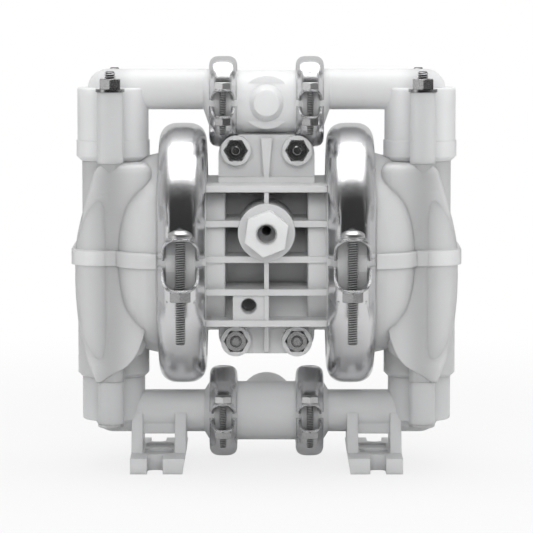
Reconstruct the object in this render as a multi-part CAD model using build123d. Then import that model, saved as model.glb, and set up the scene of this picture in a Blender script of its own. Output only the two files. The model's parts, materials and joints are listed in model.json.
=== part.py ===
"""Air operated diaphragm pump, half-inch class, clamp-banded, in millimetres.

The shaft lies along X, the front looks towards -Y, and the feet stand on Z = 0.
Every piece on the right is modelled once and mirrored to the left.
"""

import os
from math import atan, cos, sqrt

from build123d import *

# Main axes and seams
SHAFT_Z = 118.4  # shaft axis above the floor
SEAM_X = 46.3  # middle of each diaphragm's rim
LEG_X = 85.2  # axis of each valve column
COLUMN_TOP = 170.0  # joint of a liquid chamber and its discharge elbow
COLUMN_BOTTOM = 49.8  # joint of a liquid chamber and its inlet elbow
DISCHARGE_RISE = 32.6
RUN_RISE = 6.8
INLET_DROP = 20.0
DISCHARGE_Z = COLUMN_TOP + DISCHARGE_RISE  # axis of the discharge tee
INLET_Z = COLUMN_BOTTOM - INLET_DROP  # axis of the inlet tee and its runs
PIPE_SEAM_X = 24.0  # joint of tee and elbow
RUN_Z = DISCHARGE_Z + RUN_RISE  # axis of the discharge runs

# Clearances
FIT = 0.1  # between pieces that are pressed or clamped together
RUNNING = 0.06  # radial, between sliding pieces
LOOSE = 0.3  # between a resting piece and its seat
BOLT_CLEARANCE = 0.25  # radial, between a bolt and its hole
PAST = 1.0  # how far a cutter runs past the face that it opens
SINK = 0.5  # how far one feature of a moulding reaches into the next
EDGE_R = 1.5  # rounded edge of a moulding
FLANGE_STEP = 2.5  # drop behind a clamped flange

# Large clamp band and the flanges it holds
LARGE_CREST_R = 72.0
LARGE_CREST_HALF = 8.0
LARGE_ROOT_R = 58.5
LARGE_ROOT_HALF = 13.0
LARGE_SHEET = 1.5
LARGE_CORNER_R = 4.5
LARGE_WINDOW_HALF = 8.6
LARGE_WINDOW_HEIGHT = 13.2
LARGE_WINDOW_R = 6.0
LARGE_GAP = 2.0
LARGE_RIM_GAP = 3.0
LARGE_BOLT_R = 3.1
LARGE_BOLT_OUT = 4.2
LARGE_LUG_OUT = 6.4
LARGE_TAIL = 43.0
LARGE_HEAD_R = 6.6
LARGE_HEAD_H = 4.2
HEAD_RIM_T = 0.9  # straight rim of every domed bolt head
LARGE_NUT_AF = 11.1
LARGE_NUT_H = 5.4

# Small clamp band and the pipe flanges it holds
SMALL_CREST_R = 25.0
SMALL_CREST_HALF = 4.2
SMALL_ROOT_R = 18.8
SMALL_ROOT_HALF = 7.6
SMALL_SHEET = 1.2
SMALL_CORNER_R = 2.4
SMALL_WINDOW_HALF = 5.2
SMALL_WINDOW_HEIGHT = 6.8
SMALL_WINDOW_R = 3.4
SMALL_GAP = 1.7
SMALL_RIM_GAP = 1.9
SMALL_BOLT_R = 2.1
SMALL_BOLT_OUT = 3.2
SMALL_LUG_OUT = 4.6
SMALL_TAIL = 17.0
SMALL_HEAD_AF = 8.6
SMALL_HEAD_H = 3.6
SMALL_NUT_H = 4.0
SMALL_FOOT_STEP = 0.6  # drop behind the flange

# Diaphragm, pistons and shaft
RUBBER_T = 3.0
RIM_R = 66.0
DISH_R = 52.0
PISTON_R = 26.0
PISTON_T = 6.0
STROKE = 5.0
DISH_GAP = 3.0  # between a piston at its stroke's end and the dish round it
SWELL = 3.2  # height of the diaphragm's convolution
SWELL_R = 8.0
FOLD_R = 3.0
STUD_LENGTH = 12.0
SHAFT_R = 7.9
STUD_R = 4.0
BUSHING_R = 11.0
SEAL_T = 3.0

# Liquid chamber
DOME_R = 51.8
DOME_TIP_X = 84.0
COLUMN_R = 19.8
COLUMN_NECK_R = 17.2
COLUMN_BEVEL = 2.0
SHOULDER_Y = 36.6
BELT_H = 8.2
BELT_OUT = 2.1
PASSAGE_R = 9.5  # between the dome's hollow and the column's bore
DOME_LINE = (  # out from the neck, radius, corner radius
    (6.0, 51.0, 6.0),
    (15.0, 39.3, 12.0),
    (22.0, 25.9, 12.0),
)
SHOULDER_LINE = (  # out from the column's axis, height, corner radius
    (-18.8, 66.8, 6.0),
    (8.0, 48.8, 0.0),
    (16.6, 70.8, 30.0),
    (20.1, 98.4, 60.0),
    (20.1, 122.5, 3.0),
    (16.7, 139.4, 40.0),
    (8.0, 168.0, 20.0),
    (-18.8, 162.0, 6.0),
)
SHOULDER_CORNER_R = 15.0
NECK_BEND_H = 16.0
NECK_BEND_R = 20.0

# Valves
BALL_R = 9.5
CAGE_R = 11.2
SEAT_R = 15.0
SEAT_H = 6.0
SEAT_BORE_R = 7.6
BALL_TRAVEL = 4.5
CAGE_RIB_T = 2.6
CAGE_RIB_IN = 5.0
CAGE_RIB_H = 9.0
ORING_R = 1.3
SEAT_ORING_R = 13.2
TEE_ORING_R = 11.0

# Tie bolts that hold elbow, chamber and elbow together
TIE_X = 85.5
TIE_Y = 30.0
TIE_TUBE_R = 7.1
TIE_WEB_T = 6.0
TIE_BOLT_R = 3.15
TIE_TAIL = 4.0
TIE_NUT_AF = 11.1
TIE_NUT_H = 5.6
WASHER_R = 7.95
WASHER_T = 1.6
TIE_HEAD_R = 7.3
TIE_HEAD_H = 2.6

# Manifolds
LEG_R = 19.7
LEG_RISE = 1.1
TIE_TOP_DROP = 1.4
LEG_TOP = RUN_Z + LEG_RISE
TIE_TOP = LEG_TOP - TIE_TOP_DROP
COLLAR_R = 20.3
COLLAR_H = 11.3
COLLAR_BEVEL = 2.6
RUN_R = 11.25
RUN_BORE_R = 7.4
TEE_R = 17.2
FLARE_X = 34.4
INLET_LEG_R = 17.4
LEG_DROP = 4.2
TIE_BOTTOM_RISE = 0.6
INLET_LEG_BOTTOM = INLET_Z - LEG_DROP
TIE_BOTTOM = INLET_LEG_BOTTOM + TIE_BOTTOM_RISE
INLET_RUN_R = 11.75
INLET_TEE_R = 16.3
PORT_HUB_R = 15.2
PORT_Y = 52.0
PORT_R = 9.6
PORT_DEPTH = 20.0
CENTRE_BORE_R = 7.8
BOSS_COLLAR_R = 14.7
BOSS_BASE_R = 10.1
BOSS_FACE_R = 7.1
BOSS_H = 4.2
BOSS_COLLAR_SINK = 3.5
MANIFOLD_EDGE_R = 1.2

# Feet
FOOT_X = 59.8
FOOT_HALF_X = 15.1
FOOT_HALF_Y = 42.5
FOOT_H = 8.5
FOOT_WEB_T = 6.2
FOOT_WEB_HALF_Y = 17.0
FOOT_SLOT_R = 4.35
FOOT_SLOT_DEPTH = 16.5
FOOT_SLOT_X = 61.3
FOOT_TRAY_DEPTH = 1.4
FOOT_TRAY_RIM = 3.0
FOOT_LEAN = 1.4
FOOT_WEB_SPREAD = 4.0
FOOT_WEB_TOP_HALF_Y = 12.0
FOOT_TRAY_SIDE = 1.0
FOOT_TRAY_R = 3.0
LINTEL_HALF_Y = 10.0

# Centre block
BACK_X = 33.0  # outer face of each air chamber's back
DRUM_X = 22.5
DRUM_R = 43.0
CORE_R = 17.0
RIB_FRONT = 45.0
RIB_T = 3.5
RIB_ABOVE_SHAFT = (38.5, 19.5, 0.0, -18.0, -35.0)
CELL_BACK_Y = (2.0, 26.0, -4.0, -24.0)  # rear wall of each row of cells, from the top
CENTRE_RIB_T = 2.6
CENTRE_RIB_STEP = 1.0  # behind the fronts of the other ribs
PAD_Y = 43.5
PANEL_HALF_X = 26.5
PANEL_FRONT = 15.0
PANEL_GAP = 0.5
PANEL_TOP = DISCHARGE_Z - TEE_R - PANEL_GAP
PANEL_BOTTOM = 63.6
PANEL_CORNER_R = 11.0
PANEL_RIB_H = 6.0
PANEL_RIB_TOP_T = 6.2
PANEL_RIB_FOOT_T = 2.1
PANEL_RIB_INSET = 1.5
LEDGE_T = 4.9
NOTCH_GAP = 0.6
VALVE_BOLT_X = 16.9
VALVE_BOLT_SPACING = 105.6
VALVE_BOLT_MID_Z = 123.6
NUT_BOSS_R = 8.3
NUT_BOSS_ROOT = 4.0
NUT_POCKET_DEPTH = 5.4
NUT_POCKET_GAP = 0.25
EXHAUST_Z = 133.4
EXHAUST_BOSS_R = 15.6
EXHAUST_BOSS_FRONT = 47.0
HEX_AF = 22.2
HEX_FRONT = 59.0
HEX_TURN = 21.4
EXHAUST_R = 5.7
EXHAUST_DEEP_R = 2.5
EXHAUST_DEPTH = 24.0
HEX_SPIGOT_R = 9.0
HEX_SPIGOT_LENGTH = 15.0
AUX_X = -9.7
AUX_Z = 92.8
AUX_R = 4.45
AUX_HALF_X = 8.7
AUX_FRONT = 43.0
PILOT_Y = 12.0
PILOT_DROP = 16.0
PILOT_R = 4.0
PILOT_SLEEVE_R = 6.5
PILOT_BOSS_R = 9.5

# Air valve on the rear
GASKET_T = 1.5
GASKET_INSET = 0.5
VALVE_HALF_X = 26.0
VALVE_OVER = 8.6  # body past the bolt centres, up and down
VALVE_FLANGE_T = 17.0
VALVE_POCKET_DEPTH = 7.0
VALVE_POCKET_HALF_Z = 38.0
VALVE_PLATE_T = 6.0
BARREL_R = 15.5
BARREL_HALF_Z = 45.2
SPOOL_R = 8.5
SPOOL_LAND = 14.0
SPOOL_TRAVEL = 8.0
SPOOL_WAIST_R = 5.0
CAP_R = 12.5
CAP_T = 5.0
CAP_RECESS = 0.8
AIR_PORT_R = 5.7
AIR_PORT_HUB_R = 11.0
AIR_PORT_DEPTH = 9.0
AIR_PASSAGE_R = 3.0
AIR_PORT_Y = 80.0
VALVE_BOLT_R = 2.9
VALVE_BOLT_TIP = 0.6
VALVE_Y = PAD_Y + GASKET_T + VALVE_FLANGE_T  # rear face of the flange and axis of the barrel
VALVE_HEAD_H = 4.0


def rod(radius, start, end):
    """A round bar from one point to another."""
    way = Vector(*end) - Vector(*start)
    seat = Plane(origin=start, z_dir=way)
    return seat * Cylinder(radius, way.length, align=(Align.CENTER, Align.CENTER, Align.MIN))


def taper(start_radius, end_radius, start, end):
    """A round bar whose radius changes evenly from one point to another."""
    way = Vector(*end) - Vector(*start)
    seat = Plane(origin=start, z_dir=way)
    return seat * Cone(start_radius, end_radius, way.length, align=(Align.CENTER, Align.CENTER, Align.MIN))


def hexagon(across_flats, start, length, z_dir, x_dir=(1, 0, 0), turn=0):
    """A hexagonal bar that starts at a point; turn is the angle of one corner from x_dir."""
    seat = Plane(origin=start, x_dir=x_dir, z_dir=z_dir)
    shape = RegularPolygon(across_flats / 2, 6, major_radius=False, rotation=turn)
    return seat * extrude(shape, length)


def block(x, y, z):
    """A box between the low and high values of each axis."""
    lows = (x[0], y[0], z[0])
    sizes = (x[1] - x[0], y[1] - y[0], z[1] - z[0])
    return Pos(*lows) * Box(*sizes, align=(Align.MIN, Align.MIN, Align.MIN))


def outline(points):
    """A closed face through (a, b) or (a, b, corner radius) points."""
    places = [point[:2] for point in points]
    radii = [point[2] if len(point) > 2 else 0 for point in points]
    if any(radii):
        return make_face(FilletPolyline(*places, radius=radii, close=True))
    return make_face(Polyline(*places, close=True))


def turned_on_x(points, z):
    """(x, radius) points turned about a line along X at height z."""
    return Pos(0, 0, z) * revolve(Plane.XZ * outline(points), Axis.X)


def turned_on_z(points, x):
    """(radius, z) points turned about an upright line."""
    return Pos(x, 0, 0) * revolve(Plane.XZ * outline(points), Axis.Z)


def front_shape(face, y_from, y_to):
    """A face drawn in X and Z, extruded between two depths."""
    return Plane.XZ.offset(-y_from) * extrude(face, -(y_to - y_from))


def both_sides(piece):
    """A right-hand piece and its left-hand mirror image, as separate solids."""
    return [piece, mirror(piece, about=Plane.YZ)]


def front_and_rear(piece):
    """A front piece and its mirror image at the rear, as separate solids."""
    return [piece, mirror(piece, about=Plane.XZ)]


class Band:
    """A clamp band: a trapezoid channel of bent sheet, closed by a bolt at front and rear."""

    def __init__(self, crest_r, crest_half, root_r, root_half, sheet, corner_r):
        self.crest_r = crest_r
        self.crest_half = crest_half
        self.root_r = root_r
        self.root_half = root_half
        self.sheet = sheet
        self.corner_r = corner_r
        self.slope = (root_half - crest_half) / (crest_r - root_r)
        self.flank_t = sheet / cos(atan(self.slope))

    def half_width(self, radius):
        """Half of the channel's outer width at a radius."""
        return self.root_half - (radius - self.root_r) * self.slope

    def flange_half(self, radius):
        """Half of the width that is left for the two flanges at a radius."""
        return self.half_width(radius) - self.flank_t - FIT

    def channel(self):
        """The closed ring before it is cut into halves."""
        inner_crest_r = self.crest_r - self.sheet
        inner_root_r = self.root_r - self.sheet
        inner_crest = self.half_width(inner_crest_r) - self.flank_t
        inner_root = self.half_width(inner_root_r) - self.flank_t
        inner_corner = self.corner_r - self.sheet
        outer = outline([
            (-self.root_half, self.root_r),
            (-self.crest_half, self.crest_r, self.corner_r),
            (self.crest_half, self.crest_r, self.corner_r),
            (self.root_half, self.root_r),
        ])
        inner = outline([
            (-inner_root, inner_root_r),
            (-inner_crest, inner_crest_r, inner_corner),
            (inner_crest, inner_crest_r, inner_corner),
            (inner_root, inner_root_r),
        ])
        return revolve(Plane.XZ * (outer - inner), Axis.X)


LARGE = Band(LARGE_CREST_R, LARGE_CREST_HALF, LARGE_ROOT_R, LARGE_ROOT_HALF, LARGE_SHEET, LARGE_CORNER_R)
SMALL = Band(SMALL_CREST_R, SMALL_CREST_HALF, SMALL_ROOT_R, SMALL_ROOT_HALF, SMALL_SHEET, SMALL_CORNER_R)


def half_bands(band, window_half, window_height, window_r, gap, rim_gap, bolt_out, lug_out, bolt_r, head_r):
    """The upper and lower halves of a clamp centred on the origin, with hooded bolt lugs."""
    opening = RectangleRounded(2 * window_half, 2 * window_height, window_r)
    wider = 2 * (window_half + band.sheet)
    higher = 2 * (window_height + band.sheet)
    hood = RectangleRounded(wider, higher, window_r + band.sheet) - opening
    inside_y = band.crest_r - band.sheet - rim_gap + 2 * LOOSE
    bolt_y = band.crest_r + bolt_out
    lug_y = bolt_y + lug_out
    side = outline([
        (-inside_y, 0),
        (-band.crest_r, 0),
        (-lug_y, window_height - band.sheet, band.sheet),
        (-lug_y, window_height + 2 * band.sheet),
        (-inside_y, window_height + 2 * band.sheet),
    ])
    side_prism = Plane.YZ * extrude(side, wider, both=True)
    prism = side_prism + mirror(side_prism, about=Plane.XY)
    lug = front_shape(hood, -lug_y, -inside_y) & prism
    lug -= rod(bolt_r + BOLT_CLEARANCE, (0, -bolt_y, -higher), (0, -bolt_y, higher))
    through = front_shape(opening, -lug_y, lug_y)
    ring = band.channel() - through
    shelf = window_height + band.sheet
    dimple = rod(head_r + LOOSE, (0, -bolt_y, shelf), (0, -bolt_y, shelf + 2 * head_r))
    for one in front_and_rear(dimple):
        ring -= one
    for one in front_and_rear(lug):
        ring += one
    reach = lug_y + PAST
    top = ring & block((-reach, reach), (-reach, reach), (gap, reach))
    bottom = ring & block((-reach, reach), (-reach, reach), (-reach, -gap))
    return top, bottom


def large_halves():
    """Upper and lower half of a large band, round the origin."""
    return half_bands(
        LARGE, LARGE_WINDOW_HALF, LARGE_WINDOW_HEIGHT, LARGE_WINDOW_R,
        LARGE_GAP, LARGE_RIM_GAP, LARGE_BOLT_OUT, LARGE_LUG_OUT, LARGE_BOLT_R, LARGE_HEAD_R,
    )


def small_halves():
    """Upper and lower half of a small band, round the origin."""
    return half_bands(
        SMALL, SMALL_WINDOW_HALF, SMALL_WINDOW_HEIGHT, SMALL_WINDOW_R,
        SMALL_GAP, SMALL_RIM_GAP, SMALL_BOLT_OUT, SMALL_LUG_OUT, SMALL_BOLT_R, SMALL_HEAD_AF / 2,
    )


def domed_head(radius, height, base, way):
    """A carriage bolt's head above (way 1) or below (way -1) a point: a slice of a ball on a rim."""
    x, y, z = base
    rise = height - HEAD_RIM_T
    ball_r = (radius ** 2 + rise ** 2) / (2 * rise)
    top = z + way * height
    return rod(radius, base, (x, y, top)) & Pos(x, y, top - way * ball_r) * Sphere(ball_r)


def large_bolt(y):
    """Carriage bolt of a large clamp, head up, about the clamp's centre height."""
    shelf = LARGE_WINDOW_HEIGHT + LARGE_SHEET
    head = domed_head(LARGE_HEAD_R, LARGE_HEAD_H, (0, y, shelf), 1)
    return head + rod(LARGE_BOLT_R, (0, y, -LARGE_TAIL), (0, y, shelf))


def nut(across_flats, height, bolt_r, place):
    """A hexagonal nut that hangs below a point, round its bolt."""
    x, y, z = place
    body = hexagon(across_flats, (x, y, z - height), height, (0, 0, 1))
    return body - rod(bolt_r + RUNNING, (x, y, z - height - PAST), (x, y, z + PAST))


def small_bolt(y):
    """Hexagon head bolt of a small clamp, head up, about the clamp's centre height."""
    shelf = SMALL_WINDOW_HEIGHT + SMALL_SHEET
    head = hexagon(SMALL_HEAD_AF, (0, y, shelf), SMALL_HEAD_H, (0, 0, 1))
    return head + rod(SMALL_BOLT_R, (0, y, -SMALL_TAIL), (0, y, shelf))


def centre_block():
    """Ribbed block between the diaphragms, with an air chamber at each end."""
    face_x = SEAM_X - RUBBER_T / 2
    rim_r = LARGE_CREST_R - LARGE_SHEET - LARGE_RIM_GAP
    dish_x = SEAM_X - RUBBER_T / 2 - PISTON_T - STROKE - LOOSE
    foot_r = LARGE_ROOT_R
    chamber = turned_on_x([
        (0, 0),
        (dish_x, 0),
        (dish_x, PISTON_R + DISH_GAP),
        (face_x - LOOSE, DISH_R),
        (face_x, DISH_R),
        (face_x, rim_r),
        (SEAM_X - LARGE.flange_half(rim_r), rim_r),
        (SEAM_X - LARGE.flange_half(foot_r), foot_r),
        (BACK_X, foot_r - FLANGE_STEP),
        (BACK_X, DRUM_R, EDGE_R),
        (DRUM_X, DRUM_R, EDGE_R),
        (DRUM_X, CORE_R, EDGE_R),
        (0, CORE_R),
    ], SHAFT_Z)
    body = Part() + both_sides(chamber)
    rib_heights = [SHAFT_Z + rise for rise in RIB_ABOVE_SHAFT]
    rib_x = (-BACK_X, BACK_X)
    for height in rib_heights:
        body += block(rib_x, (-RIB_FRONT, PAD_Y), (height - RIB_T / 2, height + RIB_T / 2))
    highest, lowest = rib_heights[0], rib_heights[-1]
    body += block(
        (-CENTRE_RIB_T / 2, CENTRE_RIB_T / 2),
        (CENTRE_RIB_STEP - RIB_FRONT, PAD_Y),
        (lowest, highest),
    )
    for over, under, back_y in zip(rib_heights, rib_heights[1:], CELL_BACK_Y):
        body += block(rib_x, (back_y, PAD_Y), (under, over))
    return body, rib_heights


def finished_centre_block():
    """The centre block with its panels, bosses, ports and bores."""
    body, ribs = centre_block()
    bolt_heights = [VALVE_BOLT_MID_Z + side * VALVE_BOLT_SPACING / 2 for side in (1, -1)]
    mid_z = (PANEL_TOP + PANEL_BOTTOM) / 2
    panel_face = Pos(0, mid_z) * RectangleRounded(
        2 * PANEL_HALF_X, PANEL_TOP - PANEL_BOTTOM, PANEL_CORNER_R
    )
    inner_gap = block(
        (-PANEL_HALF_X - PAST, PANEL_HALF_X + PAST),
        (-PANEL_FRONT - PAST, PAD_Y + PAST),
        (ribs[-1], ribs[0]),
    )
    panels = front_shape(panel_face, -PANEL_FRONT, PAD_Y) - inner_gap
    body += panels
    rib_face = outline([
        (-PANEL_RIB_TOP_T / 2, PANEL_TOP - PANEL_RIB_INSET),
        (PANEL_RIB_TOP_T / 2, PANEL_TOP - PANEL_RIB_INSET),
        (PANEL_RIB_FOOT_T / 2, ribs[0]),
        (-PANEL_RIB_FOOT_T / 2, ribs[0]),
    ])
    panel_rib_y = (-PANEL_FRONT - PANEL_RIB_H, SINK - PANEL_FRONT)
    body += front_shape(rib_face, *panel_rib_y)
    body += block(
        (-CENTRE_RIB_T / 2, CENTRE_RIB_T / 2), panel_rib_y, (PANEL_BOTTOM + PANEL_RIB_INSET, ribs[-1])
    )
    body += block((-PANEL_HALF_X, PANEL_HALF_X), panel_rib_y, (ribs[0], ribs[0] + LEDGE_T))
    # Bosses for the exhaust bushing, the auxiliary port, the pilot sleeve and the nuts
    body += rod(EXHAUST_BOSS_R, (0, -EXHAUST_BOSS_FRONT, EXHAUST_Z), (0, 0, EXHAUST_Z))
    body += block(
        (AUX_X - AUX_HALF_X, AUX_X + AUX_HALF_X),
        (-AUX_FRONT, 0),
        (ribs[4], ribs[3]),
    )
    pilot_z = SHAFT_Z - PILOT_DROP
    body += rod(PILOT_BOSS_R, (-DRUM_X, PILOT_Y, pilot_z), (DRUM_X, PILOT_Y, pilot_z))
    for x in (-VALVE_BOLT_X, VALVE_BOLT_X):
        for z in bolt_heights:
            front = -PANEL_FRONT - NUT_POCKET_DEPTH
            body += rod(NUT_BOSS_R, (x, front, z), (x, -PANEL_FRONT + NUT_BOSS_ROOT, z))
            body -= hexagon(
                TIE_NUT_AF + 2 * NUT_POCKET_GAP, (x, front - PAST, z), NUT_POCKET_DEPTH + PAST, (0, 1, 0)
            )
            body -= rod(VALVE_BOLT_R + BOLT_CLEARANCE, (x, front, z), (x, PAD_Y + PAST, z))
    notch_half = SMALL_ROOT_HALF + NOTCH_GAP
    for x in (-PIPE_SEAM_X, PIPE_SEAM_X):
        body -= rod(
            SMALL_CREST_R + NOTCH_GAP, (x - notch_half, 0, DISCHARGE_Z), (x + notch_half, 0, DISCHARGE_Z)
        )
    # Bores
    dish_x = SEAM_X - RUBBER_T / 2 - PISTON_T - STROKE - LOOSE
    end = dish_x + PAST
    body -= rod(BUSHING_R, (-end, 0, SHAFT_Z), (end, 0, SHAFT_Z))
    body -= rod(PILOT_SLEEVE_R, (-end, PILOT_Y, pilot_z), (end, PILOT_Y, pilot_z))
    spigot_end = -EXHAUST_BOSS_FRONT + HEX_SPIGOT_LENGTH
    body -= rod(
        HEX_SPIGOT_R + FIT, (0, -EXHAUST_BOSS_FRONT - PAST, EXHAUST_Z), (0, spigot_end, EXHAUST_Z)
    )
    body -= rod(EXHAUST_DEEP_R, (0, spigot_end - PAST, EXHAUST_Z), (0, PAD_Y + PAST, EXHAUST_Z))
    body -= rod(AUX_R, (AUX_X, -AUX_FRONT - PAST, AUX_Z), (AUX_X, -PANEL_FRONT, AUX_Z))
    return body


def dome_points(neck_x):
    """The dome's outline from its neck outwards, as (x, radius, corner radius)."""
    line = [(neck_x + out, radius, corner) for out, radius, corner in DOME_LINE]
    return [(neck_x, DOME_R, EDGE_R)] + line


def liquid_chamber():
    """Right-hand liquid chamber: dome, valve column, shoulder, belt and tie tubes."""
    face_x = SEAM_X + RUBBER_T / 2
    rim_r = LARGE_CREST_R - LARGE_SHEET - LARGE_RIM_GAP
    foot_r = LARGE_ROOT_R
    neck_x = SEAM_X + LARGE_ROOT_HALF + LOOSE
    body = turned_on_x([
        (face_x, 0),
        (face_x, rim_r),
        (SEAM_X + LARGE.flange_half(rim_r), rim_r),
        (SEAM_X + LARGE.flange_half(foot_r), foot_r),
        (neck_x, foot_r - FLANGE_STEP),
        *dome_points(neck_x),
        (DOME_TIP_X, 0),
    ], SHAFT_Z)
    belt_top = SHAFT_Z + BELT_H / 2
    body += turned_on_z([
        (0, COLUMN_BOTTOM),
        (COLUMN_R - COLUMN_BEVEL, COLUMN_BOTTOM),
        (COLUMN_R, COLUMN_BOTTOM + COLUMN_BEVEL),
        (COLUMN_R, belt_top),
        (COLUMN_NECK_R, belt_top + NECK_BEND_H, NECK_BEND_R),
        (COLUMN_NECK_R, COLUMN_TOP),
        (0, COLUMN_TOP),
    ], LEG_X)
    shoulder_xs = [out for out, height, corner in SHOULDER_LINE]
    shoulder_half = (max(shoulder_xs) - min(shoulder_xs)) / 2
    shoulder_x = LEG_X + (max(shoulder_xs) + min(shoulder_xs)) / 2
    front_face = outline([(LEG_X + out, height, corner) for out, height, corner in SHOULDER_LINE])
    top_face = Pos(shoulder_x, 0) * RectangleRounded(2 * shoulder_half, 2 * SHOULDER_Y, SHOULDER_CORNER_R)
    shoulder = front_shape(front_face, -SHOULDER_Y, SHOULDER_Y)
    shoulder &= Pos(0, 0, COLUMN_BOTTOM) * extrude(top_face, COLUMN_TOP - COLUMN_BOTTOM)
    body += shoulder
    for y in (-TIE_Y, TIE_Y):
        body += rod(TIE_TUBE_R, (TIE_X, y, COLUMN_BOTTOM), (TIE_X, y, COLUMN_TOP))
        body += block(
            (TIE_X - TIE_WEB_T / 2, TIE_X + TIE_WEB_T / 2),
            (min(0, y), max(0, y)),
            (COLUMN_BOTTOM, COLUMN_TOP),
        )
    rear_line = dome_points(neck_x)
    front_line = [(x, -radius, corner) for x, radius, corner in reversed(rear_line)]
    dome_plan = outline(front_line + rear_line)
    flange_plan = Pos(neck_x - foot_r, 0) * Rectangle(2 * foot_r, 4 * foot_r)
    belt_plan = offset(dome_plan + top_face, BELT_OUT) - flange_plan
    body += Pos(0, 0, SHAFT_Z - BELT_H / 2) * extrude(belt_plan, BELT_H)
    # Hollow for the diaphragm, the valve column's bore, its seats and cages
    hollow_x = face_x + PISTON_T + STROKE + DISH_GAP
    body -= turned_on_x([
        (face_x - PAST, 0),
        (face_x - PAST, DISH_R),
        (face_x + LOOSE, DISH_R),
        (hollow_x, PISTON_R + DISH_GAP),
        (hollow_x, 0),
    ], SHAFT_Z)
    body -= rod(PASSAGE_R, (hollow_x - PAST, 0, SHAFT_Z), (LEG_X, 0, SHAFT_Z))
    low, high = COLUMN_BOTTOM - PAST, COLUMN_TOP + PAST
    body -= rod(CAGE_R, (LEG_X, 0, low), (LEG_X, 0, high))
    body -= rod(SEAT_R, (LEG_X, 0, low), (LEG_X, 0, COLUMN_BOTTOM + SEAT_H))
    body -= rod(SEAT_R, (LEG_X, 0, COLUMN_TOP - SEAT_H), (LEG_X, 0, high))
    for hole in tie_holes(COLUMN_BOTTOM, COLUMN_TOP):
        body -= hole
    body += cage_ribs(COLUMN_BOTTOM + SEAT_H + ball_rise() + BALL_R + BALL_TRAVEL + LOOSE)
    return body


def ball_rise():
    """Height of a resting ball's centre above its seat."""
    return sqrt((BALL_R + RUNNING) ** 2 - SEAT_BORE_R ** 2)


def cage_ribs(stop_z):
    """Four ribs that reach into a valve bore and stop the ball."""
    middle = (CAGE_RIB_IN + CAGE_R + SINK) / 2
    length = CAGE_R + SINK - CAGE_RIB_IN
    rib = Box(length, CAGE_RIB_T, CAGE_RIB_H, align=(Align.CENTER, Align.CENTER, Align.MIN))
    ribs = [Rot(0, 0, 90 * turn) * Pos(middle, 0, 0) * rib for turn in range(4)]
    return [Pos(LEG_X, 0, stop_z) * one for one in ribs]


def pipe_flange(tube_r, centre_z, end_x):
    """Flange under the outer side of a small clamp, tapering to a tube's radius."""
    rim_r = SMALL_CREST_R - SMALL_SHEET - SMALL_RIM_GAP
    foot_r = SMALL_ROOT_R
    return turned_on_x([
        (PIPE_SEAM_X, 0),
        (PIPE_SEAM_X, rim_r),
        (PIPE_SEAM_X + SMALL.flange_half(rim_r), rim_r),
        (PIPE_SEAM_X + SMALL.flange_half(foot_r), foot_r),
        (end_x, tube_r),
        (end_x, 0),
    ], centre_z)


def disc_at(x, z, radius):
    """A round face square to X."""
    return Plane(origin=(x, 0, z), x_dir=(0, 1, 0), z_dir=(1, 0, 0)) * Circle(radius)


def tie_ears(low, high):
    """Tubes and webs for the tie bolts beside a leg, front and rear."""
    ears = []
    for y in (-TIE_Y, TIE_Y):
        ears.append(rod(TIE_TUBE_R, (TIE_X, y, low), (TIE_X, y, high)))
        ears.append(block(
            (TIE_X - TIE_WEB_T / 2, TIE_X + TIE_WEB_T / 2),
            (min(y, y / 2), max(y, y / 2)),
            (low, high),
        ))
    return ears


def tie_holes(low, high):
    """Clearance holes for the tie bolts, front and rear."""
    radius = TIE_BOLT_R + BOLT_CLEARANCE
    return [rod(radius, (TIE_X, y, low - PAST), (TIE_X, y, high + PAST)) for y in (-TIE_Y, TIE_Y)]


def discharge_elbow():
    """Right-hand discharge elbow: leg with collar, round-ended run and eccentric flare."""
    leg = turned_on_z([
        (0, COLUMN_TOP),
        (COLLAR_R - COLLAR_BEVEL, COLUMN_TOP),
        (COLLAR_R, COLUMN_TOP + COLLAR_BEVEL),
        (COLLAR_R, COLUMN_TOP + COLLAR_H),
        (LEG_R, COLUMN_TOP + COLLAR_H),
        (LEG_R, LEG_TOP, MANIFOLD_EDGE_R),
        (0, LEG_TOP),
    ], LEG_X)
    run_end = LEG_X + RUN_R / 4
    body = leg + rod(RUN_R, (FLARE_X, 0, RUN_Z), (run_end, 0, RUN_Z))
    body += Pos(run_end, 0, RUN_Z) * Sphere(RUN_R)
    flare_root = PIPE_SEAM_X + SMALL.flange_half(SMALL_ROOT_R)
    flare_r = SMALL_ROOT_R - SMALL_FOOT_STEP
    body += pipe_flange(flare_r, DISCHARGE_Z, flare_root + SMALL_FOOT_STEP)
    body += loft([
        disc_at(flare_root, DISCHARGE_Z, flare_r),
        disc_at(FLARE_X + SINK, RUN_Z, RUN_R),
    ])
    body += tie_ears(COLUMN_TOP, TIE_TOP)
    ball_z = COLUMN_TOP + ball_rise()
    stop_z = ball_z + BALL_R + BALL_TRAVEL + LOOSE
    body -= rod(CAGE_R, (LEG_X, 0, COLUMN_TOP - PAST), (LEG_X, 0, stop_z + CAGE_RIB_H))
    body -= rod(RUN_BORE_R, (LEG_X, 0, stop_z), (LEG_X, 0, RUN_Z))
    body -= Pos(LEG_X, 0, RUN_Z) * Sphere(RUN_BORE_R)
    body -= rod(RUN_BORE_R, (FLARE_X, 0, RUN_Z), (LEG_X, 0, RUN_Z))
    body -= loft([
        disc_at(PIPE_SEAM_X - SINK, DISCHARGE_Z, CENTRE_BORE_R),
        disc_at(FLARE_X + SINK, RUN_Z, RUN_BORE_R),
    ])
    body -= o_ring_groove(SEAT_ORING_R, (LEG_X, 0, COLUMN_TOP), (0, 0, 1))
    body -= o_ring_groove(TEE_ORING_R, (PIPE_SEAM_X, 0, DISCHARGE_Z), (1, 0, 0))
    for hole in tie_holes(COLUMN_TOP, TIE_TOP):
        body -= hole
    body += cage_ribs(stop_z)
    return body


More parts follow.
